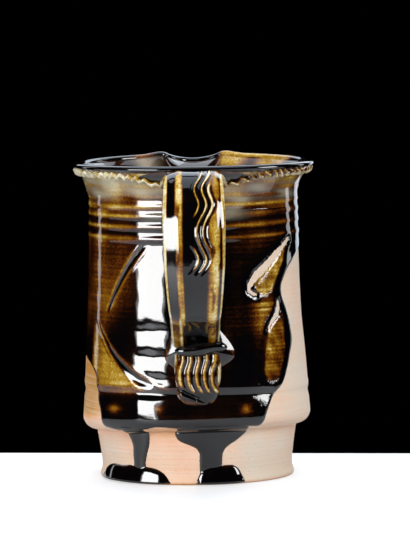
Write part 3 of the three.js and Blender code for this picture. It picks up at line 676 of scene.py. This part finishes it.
# painted reflection: a pale grey beside the strap, just under the collar
strap_side_reflection = 0.55 * beside_strap * soft_step(coat_z, 150.0, 6.0)
coat_mesh = put_shell(
    "outer_coat", upper, lower, kept_cells(cover, True), True, film=film, pits=pits, haze=strap_side_reflection
)
add_piece(coat_mesh, iron_glaze, "iron_glaze", "outer_glaze")

# %% [markdown]
# ## The collar and the lip
# The collar flares out into a rounded rim. At the back the potter pulled it out between two fingers into a
# pouring lip, which dips in the middle and is pinched at its shoulders. The section of the collar is a closed
# loop that is carried round the pitcher, so the grid wraps both ways.

# %% The collar's section
LIP_REACH, LIP_DROP, LIP_SPREAD = 12.0, 3.4, 11.0  # mm, mm, degrees
THROAT, THROAT_SPREAD, PINCH, SHOULDER = 17.0, 6.0, 4.5, 1.8  # degrees, degrees, mm, mm
BACK_RISE, BACK_SPREAD = 1.3, 58.0  # mm, degrees
CROWN = 2.3  # mm, how far the rim is rounded up
JOIN_PART = (JOIN_Z - COLLAR_Z) / COLLAR


def collar_point(angle, part, inward, rise=0.0):
    """A point on the collar: part 0 at the neck, 1 at the rim; the lip's pull grows with part squared."""
    off_lip = 180.0 - np.abs(np.degrees(angle))
    grow = np.clip(part, 0.0, None) ** 2
    pull = LIP_REACH * hump(off_lip, 0.0, LIP_SPREAD) - PINCH * hump(off_lip, THROAT, THROAT_SPREAD)
    lift = BACK_RISE * hump(off_lip, 0.0, BACK_SPREAD) + SHOULDER * hump(off_lip, THROAT, THROAT_SPREAD)
    lift = lift - LIP_DROP * hump(off_lip, 0.0, LIP_SPREAD)
    z = COLLAR_Z + COLLAR * part
    swell = 1.6 * hump(angle, -1.5, 0.55) * hump(part, 0.52, 0.26)
    marks = wall_marks(angle, z) * (1.0 - soft_step(part / 0.5))
    return turn(wall_radius(z) + marks + grow * pull + swell - inward, z + grow * lift + rise, angle)


part_out = np.concatenate([
    np.linspace(JOIN_PART - 0.18, JOIN_PART, 5)[:-1], np.linspace(JOIN_PART, 1.0, 52),
])
crown = np.linspace(0.0, 1.0, 18)[1:-1]
part_in = np.concatenate([
    np.linspace(1.0, JOIN_PART, 40), np.linspace(JOIN_PART, JOIN_PART - 0.16, 5)[1:],
])
part = np.concatenate([part_out, np.ones(len(crown)), part_in])[:, None]
inward = np.concatenate([
    -COAT + 1.1 * soft_step((JOIN_PART - part_out) / 0.12),
    -COAT + (WALL + COAT) * (0.5 - 0.5 * np.cos(np.pi * crown)),
    WALL - 1.0 * soft_step((JOIN_PART - part_in) / 0.12),
])[:, None]
rise = np.concatenate([
    np.zeros_like(part_out), CROWN * np.sin(np.pi * crown) ** 0.7, np.zeros_like(part_in),
])[:, None]
collar_points = collar_point(AROUND, part, inward, rise)
print(f"the collar's section has {part.size} points and rises to {collar_points[..., 2].max():.1f} mm")

# %% Collar and lip
rows, cols = collar_points.shape[:2]
row = np.arange(rows)[:, None]
on_out = row < len(part_out)
on_crown = ~on_out & (row < len(part_out) + len(crown))
on_in = ~(on_out | on_crown)
height = COLLAR_Z + COLLAR * part
# painted highlight: a pale streak inside the lip, left of the spout, made of thinner glaze and the pale
# painted sheen
left_painted_highlight = hump(degrees, -152.0, 6.0)
right_patch = soft_step(degrees, 116.0, 8.0) * soft_step((168.0 - degrees) / 6.0)
right_patch = right_patch * (1.0 - 0.8 * hump(degrees, 146.0, 5.0))
streaks = soft_step(1.6 * round_ripple(AROUND, height, 20.0, 1.05, 9.0) - 0.1) * on_out

out_film = 0.27 + 0.12 * round_ripple(AROUND, height, 3.5, 16.0, 4.0)
out_film = out_film + 0.12 * round_ripple(AROUND, height, 12.0, 3.2, 5.0)
out_film = out_film + 0.34 * (1.0 - soft_step(part, 0.12, 0.5)) + 0.08 * soft_step(AROUND / 0.4)
out_film = out_film + 0.7 * soft_step(part, 0.90, 0.05) * soft_step((120.0 - np.abs(degrees)) / 25.0)
out_film = out_film - 0.3 * hump((height - RING_HEIGHTS[0] - ring_tilt(AROUND)) / 1.3) - 0.14 * streaks
in_film = 0.76 - 0.50 * soft_step(part, 0.5, 0.35) * (right_patch + 0.5 * left_painted_highlight)
crown_film = 0.95 - 0.72 * soft_step(degrees, 112.0, 10.0) * soft_step((169.0 - degrees) / 6.0)
crown_film = crown_film - 0.55 * hump(degrees, -152.0, 8.0)
collar_film = np.where(on_out, out_film, np.where(on_crown, crown_film, in_film))

# painted reflection: the collar's outer band is painted pale grey where the down-facing flare mirrors the
# white table, mottled and brightest at the left
reflection_mottle = 0.40 + 0.30 * round_ripple(AROUND, height, 10.0, 3.0, 3.0)
reflection_mottle = reflection_mottle + 0.22 * round_ripple(AROUND, height, 6.0, 1.6, 7.0) + 0.3 * hump(degrees, -62.0, 12.0)
painted_reflection = soft_step((part - 0.08 + 0.45 * beside_strap) / 0.3) * soft_step((0.94 - part) / 0.05)
painted_reflection = painted_reflection * np.clip(reflection_mottle, 0, 0.9) * on_out * (1.0 - 0.78 * streaks)
# painted highlights inside the lip: strong at the left, and a little painted sheen over the gold at the right
painted_reflection = painted_reflection + (0.10 * right_patch + 0.45 * left_painted_highlight) * soft_step(part, 0.5, 0.3) * on_in
collar_mesh = put_mesh(
    "collar_and_lip", collar_points.reshape(-1, 3), grid_quads(rows, cols, wrap_rows=True),
    film=np.clip(collar_film, 0.0, 1.0), haze=painted_reflection,
)
add_piece(collar_mesh, iron_glaze, "amber_glaze", "flared_rim", "pouring_lip")

# %% [markdown]
# ## The glaze inside
# The inside was filled with glaze and poured out, so a thin even coat lines the wall and the floor. It is a
# turned skin whose hidden side is sunk in the clay, and its upper edge runs under the collar.

# %% Liner
SUNK = 0.3  # mm, how deep the hidden side lies in the floor
skin_r = np.concatenate([
    floor_r[::-1], well_r[::-1], inside_r[::-1], inside_r - LINER, well_r - LINER, floor_r,
])[:, None]
skin_z = np.concatenate([
    floor_z, well_z[::-1], inner_z[::-1], inner_z, well_z + 0.6, floor_z + LINER,
])[:, None]
hidden = np.arange(len(skin_r))[:, None] < len(skin_r) // 2
dip = np.where(hidden, 0.5, 0.9 * soft_step(skin_z, JOIN_Z, 2.4))
liner_points = turn(skin_r + dip, skin_z - np.where(hidden, SUNK, 0.0), AROUND)
poles = np.array([[0.0, 0.0, FLOOR_Z - SUNK], [0.0, 0.0, FLOOR_Z + LINER]])
liner_film = 0.72 + 0.12 * round_ripple(AROUND, skin_z, 8.0, 30.0, 6.0)
liner_film = liner_film - 0.25 * soft_step(skin_z, 120.0, 40.0)
liner_mesh = put_tube("liner_coat", liner_points, poles, film=(np.clip(liner_film, 0.0, 1.0), 0.8))
add_piece(liner_mesh, iron_glaze, "amber_glaze", "liner_glaze")

# %% [markdown]
# ## The handle
# The handle is a pulled strap: wet clay drawn out by hand, with a thumb's channel between two ribs, and a
# wavy comb drawn down the channel. It springs from the rim, arches over and sweeps back in to the wall. The
# strap's section is carried along three joined Bezier curves, and the comb is carved into the section.

# %% The handle's path
STRAP_TOP = reach("handle_strap")[1][2]
REACH = 101.05  # mm, how far the strap stands out from the axis
PATH_TOP = [(58.3, STRAP_TOP - 10.6), (78.9, STRAP_TOP - 1.75), (REACH, STRAP_TOP - 3.75), (REACH, 137.0)]
PATH_SIDE = [(REACH, 137.0), (REACH, 118.0), (100.3, 103.2), (93.5, 100.2)]  # mm out, mm up
PATH_FOOT = [(93.5, 100.2), (85.3, 96.6), (74.0, 90.4), (64.0, 82.8)]


def bezier(points, t):
    """A cubic Bezier curve: its four points weighted by (1-t)^3, 3t(1-t)^2, 3t^2(1-t) and t^3."""
    t = t[:, None]
    weights = np.concatenate([(1 - t) ** 3, 3 * t * (1 - t) ** 2, 3 * t**2 * (1 - t), t**3], 1)
    return weights @ np.array(points)


def even_path(curves, count):
    """Bezier curves joined, at equal steps of length: the lengths, the points and the outward normals."""
    fine = np.concatenate([bezier(curve, np.linspace(0, 1, 400))[1:] for curve in curves])
    length = np.concatenate([[0.0], np.cumsum(np.hypot(*np.diff(fine, axis=0).T))])
    at = np.linspace(0.0, length[-1], count)
    path = np.stack([np.interp(at, length, fine[:, k]) for k in (0, 1)], -1)
    along = np.gradient(path, axis=0)
    along /= np.linalg.norm(along, axis=1, keepdims=True)
    return at, path, np.stack([-along[:, 1], along[:, 0]], -1)


strap_s, strap_path, strap_out = even_path((PATH_TOP, PATH_SIDE, PATH_FOOT), 260)
print(f"the strap is {strap_s[-1]:.0f} mm long")

# %% The strap's section
STRAP_HALVES = [
    (0, 20.0), (12, 18.0), (24, 16.7), (54, 17.7), (79, 17.0),
    (100, 15.3), (111, 14.2), (125, 14.0), (138, 13.4), (150, 13.2),
]  # mm along, half width in mm
COMB_SWING = [
    (18, 9.0), (28.5, 8.6), (37, 3.2), (45.5, 8.2), (55, 1.6),
    (63, 1.2), (72, 6.4), (76.6, 7.6), (83, 1.0), (90, 0.5),
]  # mm along, mm aside
COMB_TINES = ((-4.2, 17, 54), (0.0, 17, 84), (3.6, 33, 70), (-4.4, 66, 83))  # mm aside, mm from and to
TINE_HALF = 1.5  # mm, from a comb's ridge to the cut beside it
THICK_TOP, THICK_FOOT = 5.2, 4.2  # mm, half the strap's thickness at its two ends
RIB_LEFT, RIB_RIGHT = -0.49, 0.66  # where the ribs lie, as a share of the half width
BEND = 24.0  # how sharply the faces outside the ribs bend away


def flat_arch(u, power):
    """A flat arch over u from -1 to 1, with rounded ends: the root of 1 minus u to a power."""
    return np.sqrt(np.clip(1 - np.abs(u) ** power, 0, 1))


def section(outer_count, inner_count):
    """Places u from -1 to 1 along a section's outer face and back along its inner one, and which is outer."""
    outer = np.linspace(-90, 90, outer_count)
    inner = np.linspace(90, -90, inner_count)[1:-1]
    u = np.sin(np.radians(np.concatenate([outer, inner])))[None, :]
    return u, (np.arange(u.size) < outer_count)[None, :]


u, outer_face = section(121, 61)
s = strap_s[:, None]  # mm along the strap
half = smooth_curve(s, STRAP_HALVES)
x = u * half
deep = THICK_TOP + (THICK_FOOT - THICK_TOP) * s / strap_s[-1]
worked_out = (0.45 + 0.55 * soft_step(s, 18.0, 22.0)) * (1.0 - 0.9 * soft_step(s, 106.0, 8.0))
past_ribs = np.logaddexp(0, (RIB_LEFT - u) * BEND) / BEND + np.logaddexp(0, (u - RIB_RIGHT) * BEND) / BEND
bevel = 0.42 * worked_out * past_ribs * half
ribs = 0.6 * (hump(u, RIB_LEFT, 0.13) + hump(u, RIB_RIGHT, 0.11)) - 0.5 * hump(u, 0.06, 0.3)
comb_ridge, comb_cut = 0.0, 0.0
for aside, start, end in COMB_TINES:
    drawn = soft_step(s, start, 4.0) * soft_step((end - s) / 5.0)
    off = x - smooth_curve(s, COMB_SWING) - aside
    comb_ridge = comb_ridge + hump(off / 0.75) * drawn
    comb_cut = comb_cut + (hump(off, TINE_HALF, 0.8) + hump(off, -TINE_HALF, 0.8)) * drawn
outer_n = (deep - bevel + ribs * worked_out + 0.40 * comb_ridge - 0.45 * comb_cut) * flat_arch(u, 9)
inner_n = -(deep - 0.8) * flat_arch(u, 3.5)
stand = np.where(outer_face, outer_n * (0.35 + 0.65 * soft_step(s / 10.0)), inner_n)
print(f"the strap is {2 * half.min():.1f} to {2 * half.max():.1f} mm wide")

# %% Handle strap
hug = x * x / 120.0 * (1.0 - soft_step(s / 14.0))
out, up = (strap_path[:, k : k + 1] + stand * strap_out[:, k : k + 1] for k in (0, 1))
strap_points = np.stack([x, hug - out, up], -1)
tips = np.stack([np.zeros(2), -strap_path[[0, -1], 0], strap_path[[0, -1], 1]], -1)
low_strap = soft_step(s, 104.0, 6.0)
left_gold = 0.75 * soft_step((0.175 - np.abs(u - RIB_LEFT)) / 0.10)
right_gold = (0.70 + 0.16 * hump(u, 0.72, 0.10)) * (0.82 + 0.18 * soft_step(s, 40.0, 15.0))
right_gold = right_gold * soft_step(u, 0.32, 0.24) * soft_step((0.9 - u) / 0.1)
broken = 1.0 - 0.35 * soft_step(ripple(x / 1.6, s / 2.2, 5.0) * 2.0 - 0.6)
side_edge = soft_step((np.abs(u) - 0.84 - 0.05 * soft_step(s, 40.0, 50.0)) / 0.06)
strap_film = 0.98 - (left_gold + right_gold) * (1.0 - 0.2 * low_strap) * broken
strap_film = strap_film - (0.95 - 0.10 * (u > 0)) * side_edge - 0.9 * comb_ridge + 0.5 * comb_cut
strap_film = strap_film + 0.12 * ripple(x / 3.0, s / 7.0, 8.0)
strap_film = strap_film + 0.35 * soft_step(s, 110.0, 8.0) * (np.abs(u) < 0.5)
strap_film = strap_film - 0.62 * low_strap * soft_step((-0.46 - u) / 0.2)
strap_film = np.where(outer_face, strap_film, 0.85 - 0.8 * soft_step(np.abs(u), 0.90, 0.08))
strap_mesh = put_tube("handle_strap_worked", strap_points, tips, film=(np.clip(strap_film, 0.0, 1.0), 0.5))
add_piece(strap_mesh, iron_glaze, "iron_glaze", "handle_strap")

# %% [markdown]
# ## The handle's tail
# Below the strap its end is turned into a roll and pressed flat on the wall, where the potter combed it. The
# roll and the pad are profiles carried along short paths on the wall, with their ends drawn in.

# %% Tail roll
ROLL_Z, ROLL_MID, ROLL_HALF = 79.4, 3.0, 15.0  # mm


def out_on_wall(x, z):
    """How far the coat stands out at a sideways place x: the root of its radius squared minus x squared."""
    return np.sqrt(np.square(wall_radius(z) + COAT) - x * x)


roll_x = np.linspace(ROLL_MID - ROLL_HALF, ROLL_MID + ROLL_HALF, 90)[:, None]
ring = np.radians(np.arange(0, 360, 7.5))[None, :]
drawn = np.sqrt(np.clip(1 - np.abs((roll_x - ROLL_MID) / ROLL_HALF) ** 3, 0.0, 1))
roll_r = (3.7 + 0.35 * np.sin(roll_x / 3.6 + 1.0) + 0.2 * np.sin(roll_x / 1.9)) * drawn + 0.02
roll_out = out_on_wall(roll_x, ROLL_Z) + 6.4
roll_z = ROLL_Z + 1.1 * np.sin((roll_x - ROLL_MID) / 6.5)
roll_points = np.stack(np.broadcast_arrays(
    roll_x, -(roll_out + 1.15 * roll_r * np.cos(ring)), roll_z + roll_r * np.sin(ring),
), -1)
tips = np.concatenate([roll_x, -roll_out, roll_z], 1)[[0, -1]]
roll_film = 0.98 - 0.15 * hump(np.cos(ring), 0.6, 0.4) * (0.5 + 0.5 * ripple(roll_x / 3.0, ring, 3.0))
roll_mesh = put_tube("tail_roll_worked", roll_points, tips, film=(np.clip(roll_film, 0.0, 1.0), 0.9))
add_piece(roll_mesh, iron_glaze, "iron_glaze", "tail_roll")

# %% Combed tail
PAD_HIGH = reach("combed_tail")[1][2]
PAD_MID, PAD_HALF, PAD_TALL = 1.0, 13.3, 27.5  # mm
COMB_PITCH = 4.5  # mm
u, outer_face = section(121, 41)
pad_z = np.linspace(PAD_HIGH + 2.0, PAD_HIGH - PAD_TALL, 110)[:, None]
below = PAD_HIGH - pad_z
fallen = np.clip(below, 0, None) / (PAD_TALL + 0.1)
rounded = np.sqrt(np.clip(1 - fallen**7, 0.0005, 1))
x = PAD_MID + u * PAD_HALF * rounded * (1.0 - 0.07 * hump(below, 17.0, 4.0))
bow = 2.4 * ((below - 9.0) / 9.0) ** 2 * np.clip(below, 0, 20) / 20.0 + 1.6 * soft_step((8.0 - below) / 8.0)
teeth = 2 * np.pi * (x - bow) / COMB_PITCH + 0.5 * ripple(x / 6.0, below / 6.0, 3.0)
combed = (0.5 + 0.5 * np.cos(teeth)) ** 1.4
crease_at = 17.5 + 0.48 * (x + 11.5)
tine = soft_step((np.minimum(crease_at - 1.0, 21.5) - below) / 3.0)
crease = hump(below, crease_at, 1.3) + 0.5 * hump(below, 22.5, 2.0) * (x > 0)
lobe = soft_step(below, crease_at, 1.8)
raised = 6.4 + 1.3 * combed * tine - 1.5 * crease + 0.9 * lobe + 0.7 * hump(u, -0.86, 0.14)
raised = raised * flat_arch(u, 5) * np.sqrt(np.clip(1 - fallen**3.6, 0.0005, 1))
pad_out = out_on_wall(x, pad_z) + np.where(outer_face, raised, -1.6) - 0.8
pad_points = np.stack(np.broadcast_arrays(x, -pad_out, pad_z), -1)
tips = np.stack([[PAD_MID, PAD_MID], -pad_out[[0, -1]].mean(1), pad_z[[0, -1], 0]], -1)
pad_film = 0.85 - 0.66 * combed * tine + 0.4 * crease
pad_film = pad_film + 0.16 * ripple((x - below) / 2.0, below / 6.0, 2.0) * (1.0 - tine)
pad_film = pad_film - 0.30 * soft_step(np.abs(u), 0.72, 0.2) - 0.35 * hump(below, PAD_TALL - 1.5, 1.5)
pad_mesh = put_tube("combed_tail_worked", pad_points, tips, film=(np.clip(pad_film, 0.0, 1.0), 0.9))
add_piece(pad_mesh, iron_glaze, "iron_glaze", "combed_tail")

# %% [markdown]
# ## Smears beside the handle
# Where the strap meets the pitcher the potter thumbed soft clay into the corners: two ears at the lower end
# and two wings along the rim. Each is a pillow over the wall, highest beside the strap and drawn out to
# nothing, so two sheets over one small grid make it.

# %% Ears and wings
SIDES = (("left", -1.0), ("right", 1.0))
EAR_SIZE = {"left": 0.50, "right": 0.92}
EAR_JOIN = 0.8  # mm, how softly an ear's web runs into its lobe
full = np.ones((40, 50), bool)
for name, side in SIDES:
    off = np.linspace(8.0, 8.0 + 22.0 * EAR_SIZE[name], 51)[None, :]
    up = np.linspace(62.0, 99.0, 41)[:, None]
    aside = 12.0 + (off - 12.0) / EAR_SIZE[name]
    web = -0.38 * (aside - 16.0) - 0.26 * (up - 88.5) - 0.006 * np.square(up - 84.0)
    lobe = 2.2 - 0.24 * (aside - 12.0) + 0.30 * (up - 70.0) - 0.010 * np.square(up - 78.0)
    lower_one = -EAR_JOIN * np.log(np.exp(-web / EAR_JOIN) + np.exp(-lobe / EAR_JOIN))
    raise_by = lower_one * EAR_SIZE[name] - 0.1
    angle = side * off / wall_radius(up)
    stand = wall_radius(up) + COAT
    upper = turn(stand + np.maximum(raise_by, -1.2), up, angle)
    lower = turn(stand - 2.2, up, angle)
    ear_film = 0.95 - 0.35 * hump(raise_by, 0.2, 0.4) + 0.08 * ripple(off / 3.0, up / 3.0, 4.0)
    ear_mesh = put_shell(f"foot_ear_{name}_worked", upper, lower, full, False, film=np.clip(ear_film, 0, 1))
    add_piece(ear_mesh, iron_glaze, "iron_glaze", f"foot_ear_{name}")

    off = np.radians(np.linspace(9.0, 42.0, 51))[None, :]
    part = np.linspace(0.45, 1.0, 41)[:, None]
    fall = np.clip(1.0 - (np.degrees(off) - 12.0) / 26.0, 0, 1.2)
    raise_by = 4.2 * fall**1.6 * soft_step(part, 0.45, 0.35) * soft_step((1.06 - part) / 0.3) - 0.6
    upper = collar_point(side * off, part, -COAT - raise_by, 0.6 * fall)
    lower = collar_point(side * off, part, 2.0)
    wing_film = 0.85 - 0.5 * soft_step(part, 0.8, 0.2)
    wing_film = np.clip(wing_film + 0.12 * ripple(np.degrees(off) / 4.0, part * 6.0, 5.0), 0, 1)
    wing_mesh = put_shell(f"root_wing_{name}_worked", upper, lower, full, False, film=wing_film)
    add_piece(wing_mesh, iron_glaze, "iron_glaze", f"root_wing_{name}")

# %% [markdown]
# ## The crimped edge
# Under the rim the potter pressed a row of slanting nicks into the edge, like a pie crust. The edge is a bead
# carried along the collar, and the nicks are a slanted wave in the bead's radius, so light catches each one.

# %% Crimped edges
NICK_PITCH = 5.6  # mm
NICK_SLANT = {"left": 0.5, "right": 1.5}
EDGE_DEEP, EDGE_TALL = 2.1, 1.5  # mm, half the edge's thickness and height
EDGE_FROM, EDGE_TO = 15.0, 141.0  # degrees from the handle
EDGE_FILM = {"left": (-0.12, 0.18), "right": (0.04, 0.54)}  # film on the crests, and what a nick adds
sweep = np.radians(np.linspace(EDGE_FROM, EDGE_TO, 460))[:, None]
swept = np.degrees(sweep)
ring = np.radians(np.arange(0, 360, 12.0))[None, :]
near_strap = hump(swept / 26.0)
part = 1.0 - (2.9 + 8.6 * near_strap) / COLLAR
along = sweep * RIM + 1.1 * np.sin(sweep * 9.0) + 0.6 * np.sin(sweep * 23.0)
ends = soft_step(swept, EDGE_FROM, 6.0) * soft_step((EDGE_TO - swept) / 6.0)
for name, side in SIDES:
    phase = 2 * np.pi * along / NICK_PITCH + NICK_SLANT[name] * np.sin(ring)
    nick = (0.5 + 0.5 * np.cos(phase)) ** 2
    frill = (np.sin(phase) + 0.5 * ripple(along / 5.0, ring, 2.0)) * ends
    shape = (1.0 - 0.30 * nick) * (0.25 + 0.75 * ends)
    inward = -1.3 - EDGE_DEEP * shape * np.cos(ring) - 0.4 * frill
    rise = EDGE_TALL * shape * np.sin(ring) + 0.85 * frill
    bead_points = collar_point(side * sweep, part, inward, rise)
    tips = collar_point(side * sweep[[0, -1], 0], part[[0, -1], 0], -0.5)
    thin, pooling = EDGE_FILM[name]
    bead_film = thin + pooling * nick + 0.10 * ripple(along / 3.0, ring, 6.0)
    bead_film = np.clip(bead_film + 0.5 * near_strap * (np.sin(ring) > -0.2), 0, 1)
    bead_mesh = put_tube(f"crimped_edge_{name}_worked", bead_points, tips, film=(bead_film, 0.1))
    add_piece(bead_mesh, iron_glaze, "cream_glaze", f"crimped_edge_{name}")

# %% [markdown]
# ## Runs on the foot
# In two places the glaze ran over the step, down the foot, and pooled at the base. Each run is a shell like
# the coat: `cover` is the run's half width at that height minus the distance from its middle line, or the way
# down into the pool where that is more.

# %% Runs on the foot
STEMS = {
    "left": [
        (0, -37, 4.4), (12, -36.5, 4.4), (17, -36, 5.2), (22, -34.8, 5.8),
        (26, -35, 6.6), (29, -35.7, 7.7), (44, -35.7, 9),
    ],
    "right": [
        (0, 8, 6.4), (14, 8, 6.6), (18.4, 8.4, 6.8), (22, 8.5, 9.3),
        (25.6, 6.3, 17), (30, 8.5, 21.4), (44, 8.5, 21.4),
    ],
}  # mm up, degrees from the handle, half width in mm
POOLS = {"left": (-46.0, 31.0, 10.6), "right": (14.0, 15.2, 11.0)}  # degrees, half width in degrees, mm up
STRETCH = 3.0  # the stems' curves are softened over a third of the usual way
run_step_r, run_step_z = step_curve(np.radians(np.linspace(0, 62, 14)))
run_foot_z = np.linspace(0.9, STEP_Z - 0.6, 60)
run_z = np.concatenate([run_foot_z, run_step_z])[:, None]
run_r = np.concatenate([foot_radius(run_foot_z), run_step_r])[:, None]
for name, knots in STEMS.items():
    levels, middles, halves = np.array(knots, float).T
    at, spread, brim = POOLS[name]
    lifted = run_z + step_lift(np.radians(at), run_z)
    middle, half = (
        smooth_curve(lifted * STRETCH, np.c_[levels * STRETCH, values]) for values in (middles, halves)
    )
    centre, width = np.radians((at + middles[-1]) / 2.0), np.radians(spread) + 14.0 / 57.0
    angle = centre + np.linspace(-width, width, 190)[None, :]
    wander = 0.5 * ripple(angle * 14.0, run_z / 4.0, 3.0)
    stem = half - np.abs(angle - np.radians(middle)) * run_r + wander
    across = np.clip(np.abs(np.degrees(angle) - at) / spread, 0.0, 1.0)
    pool = brim * (1.0 - across**5) ** 0.8 - 1.0 - run_z + 0.5 * wander
    cover = np.maximum(stem, pool)
    thick = np.where(stem > 0, 1.1 * (1.0 - np.exp(-stem / 1.4)), 0.8 * stem)
    dome = np.sqrt(np.clip(pool, 0.0, None) / 9.0) * (1.0 - 0.35 * across**2)
    puddle = np.maximum(3.4 * dome - 1.2 * hump(run_z, 1.5, 3.0), 1.1 * dome)
    thick = np.maximum(thick, np.where(pool > 0, puddle, 0.8 * pool))
    thick = np.maximum(thick, -0.8) * soft_step(run_z, -0.4, 1.6)
    base_r, base_z = np.broadcast_to(run_r, thick.shape), run_z + step_lift(angle, run_z)
    upper = over_curve(base_r, base_z, angle, thick)
    lower = over_curve(base_r, base_z, angle, -0.9)
    run_film = np.clip(0.95 - 0.25 * hump(cover, 0.3, 0.8), 0, 1)
    run_mesh = put_shell(
        f"foot_run_{name}_worked", upper, lower, kept_cells(cover, False), False, film=run_film
    )
    add_piece(run_mesh, iron_glaze, "iron_glaze", f"foot_run_{name}")

# %% [markdown]
# ## Table and light
# The pitcher stands on a plain white board against the dark. Two boxes share the light from the left: a weak
# one for every surface and a strong one that only the glaze mirrors, as one on the right does. Strips behind
# draw the wall's edges, two boxes overhead and behind light the rim, a narrow beam from above whitens the
# board round the foot, and a fill in front lights the clay without a mirror image. The world is dark to the
# camera and to the glaze's mirror, and gives only a little fill. A glossy pot needs such a split, because
# what lights the clay well would cover the glaze with white.

# %% Table
BOARD_BACK, BOARD_FRONT, BOARD_SIDE = 0.10, 1.10, 0.80  # m from the pitcher's axis
BOARD_TOP, BOARD_UNDER = -0.0001, -0.02  # m
BOARD_TURN = np.radians(-7.5)
SEEN_WHITE, MIRRORED_WHITE = 0.5, 0.25  # what the board gives off to the camera and to the glaze

plain_board, tree, shader = new_material("white_board")
feed(tree, shader, {"Base Color": paint("#c6c9ce"), "Roughness": 0.6, "Emission Color": paint("#ffffff")})
ray = add_node(tree, "LightPath").outputs
glow = 0.0
for kind, strength in (("Is Camera Ray", SEEN_WHITE), ("Is Glossy Ray", MIRRORED_WHITE)):
    glow = add_node(tree, "Math", {0: ray[kind], 1: strength, 2: glow}, operation="MULTIPLY_ADD").outputs[0]
feed(tree, shader, {"Emission Strength": glow})
ends = ((-1, -BOARD_FRONT), (1, -BOARD_FRONT), (1, BOARD_BACK), (-1, BOARD_BACK))
corners = np.array([(side * BOARD_SIDE, along) for side, along in ends])
cosine, sine = np.cos(BOARD_TURN), np.sin(BOARD_TURN)
spun = corners @ np.array([[cosine, sine], [-sine, cosine]])
board_points = np.concatenate([np.c_[spun, np.full(4, level)] for level in (BOARD_TOP, BOARD_UNDER)]) / MM
board_quads = np.array([(0, 1, 2, 3), (7, 6, 5, 4), (0, 4, 5, 1), (1, 5, 6, 2), (2, 6, 7, 3), (3, 7, 4, 0)])
board_mesh = put_mesh("board", board_points, board_quads)
board_mesh.polygons.foreach_set("use_smooth", np.zeros(6, bool))
board_mesh.materials.append(plain_board)
board = bpy.data.objects.new("board", board_mesh)
bpy.context.scene.collection.objects.link(board)
print("board:", 2 * BOARD_SIDE, "m wide")

# %% Lights
WHITE, COOL, PALE = "#ffffff", "#dfe9f6", "#eef3fa"
LAMPS = (
    ("key_box", -48.0, 1.1, 0.28, (0.64, 0.46), 2.5, WHITE, "all"),
    ("key_shine", -48.0, 1.07, 0.27, (0.54, 0.42), 11.0, WHITE, "mirror"),
    ("right_shine", 76.0, 0.95, 0.45, (0.32, 0.42), 6.0, WHITE, "mirror"),
    ("right_strip", 124.0, 1.0, 0.35, (0.14, 0.9), 0.9, WHITE, "all"),
    ("right_back_strip", 154.0, 1.0, 0.35, (0.32, 0.9), 1.7, COOL, "all"),
    ("left_back_strip", -124.0, 1.0, 0.35, (0.11, 0.9), 0.6, WHITE, "all"),
    ("overhead", 180.0, 0.2, 1.2, (1.2, 0.9), 5.0, COOL, "all"),
    ("back_top", 180.0, 1.0, 0.8, (1.2, 0.7), 5.0, COOL, "mirror"),
    ("front_fill", 8.0, 1.6, 0.9, (0.8, 0.6), 16.0, WHITE, "matt"),
)  # bearing in degrees, m away, m up, width and height in m, watts, colour, and the surfaces it reaches
TABLE_LAMP = ("near_table", 180.0, 0.05, 0.8, (0.25, 0.25), 0.3, PALE, "matt")
TABLE_BEAM = np.radians(50.0)  # how far the table's lamp spreads


def soft_light(name, bearing, away, height, size, strength, colour, reaches, aim=(0.0, 0.0, 0.09)):
    """A rectangular soft light that stands at a bearing from the camera's side, positive to the right."""
    lamp = bpy.data.lights.new(name, "AREA")
    lamp.shape = "RECTANGLE"
    lamp.size, lamp.size_y = size
    lamp.energy = strength
    lamp.color = paint(colour)[:3]
    stood = bpy.data.objects.new(name, lamp)
    bpy.context.scene.collection.objects.link(stood)
    angle = np.radians(bearing)
    stood.location = (away * np.sin(angle), -away * np.cos(angle), height)
    stood.rotation_euler = (Vector(aim) - stood.location).to_track_quat("-Z", "Y").to_euler()
    stood.visible_diffuse = reaches != "mirror"
    stood.visible_glossy = reaches != "matt"
    print(name, "at", [round(v, 2) for v in stood.location])
    return lamp


for settings in LAMPS:
    soft_light(*settings)
soft_light(*TABLE_LAMP, aim=(0.0, -0.06, 0.0)).spread = TABLE_BEAM

# %% World
world = bpy.data.worlds.new("dark_studio")
bpy.context.scene.world = world
world.use_nodes = True
tree = world.node_tree
tree.nodes.clear()
ray = add_node(tree, "LightPath").outputs
seen = add_node(tree, "Math", {0: ray["Is Camera Ray"], 1: ray["Is Glossy Ray"]}, operation="MAXIMUM")
fill = add_node(tree, "Background", {"Color": paint("#dfe0e2"), "Strength": 0.5})
dark = add_node(tree, "Background", {"Color": paint("#000000"), "Strength": 0.0})
either = add_node(tree, "MixShader", {0: seen.outputs[0], 1: fill.outputs[0], 2: dark.outputs[0]})
add_node(tree, "OutputWorld", {"Surface": either.outputs[0]})
print("world:", world.name)
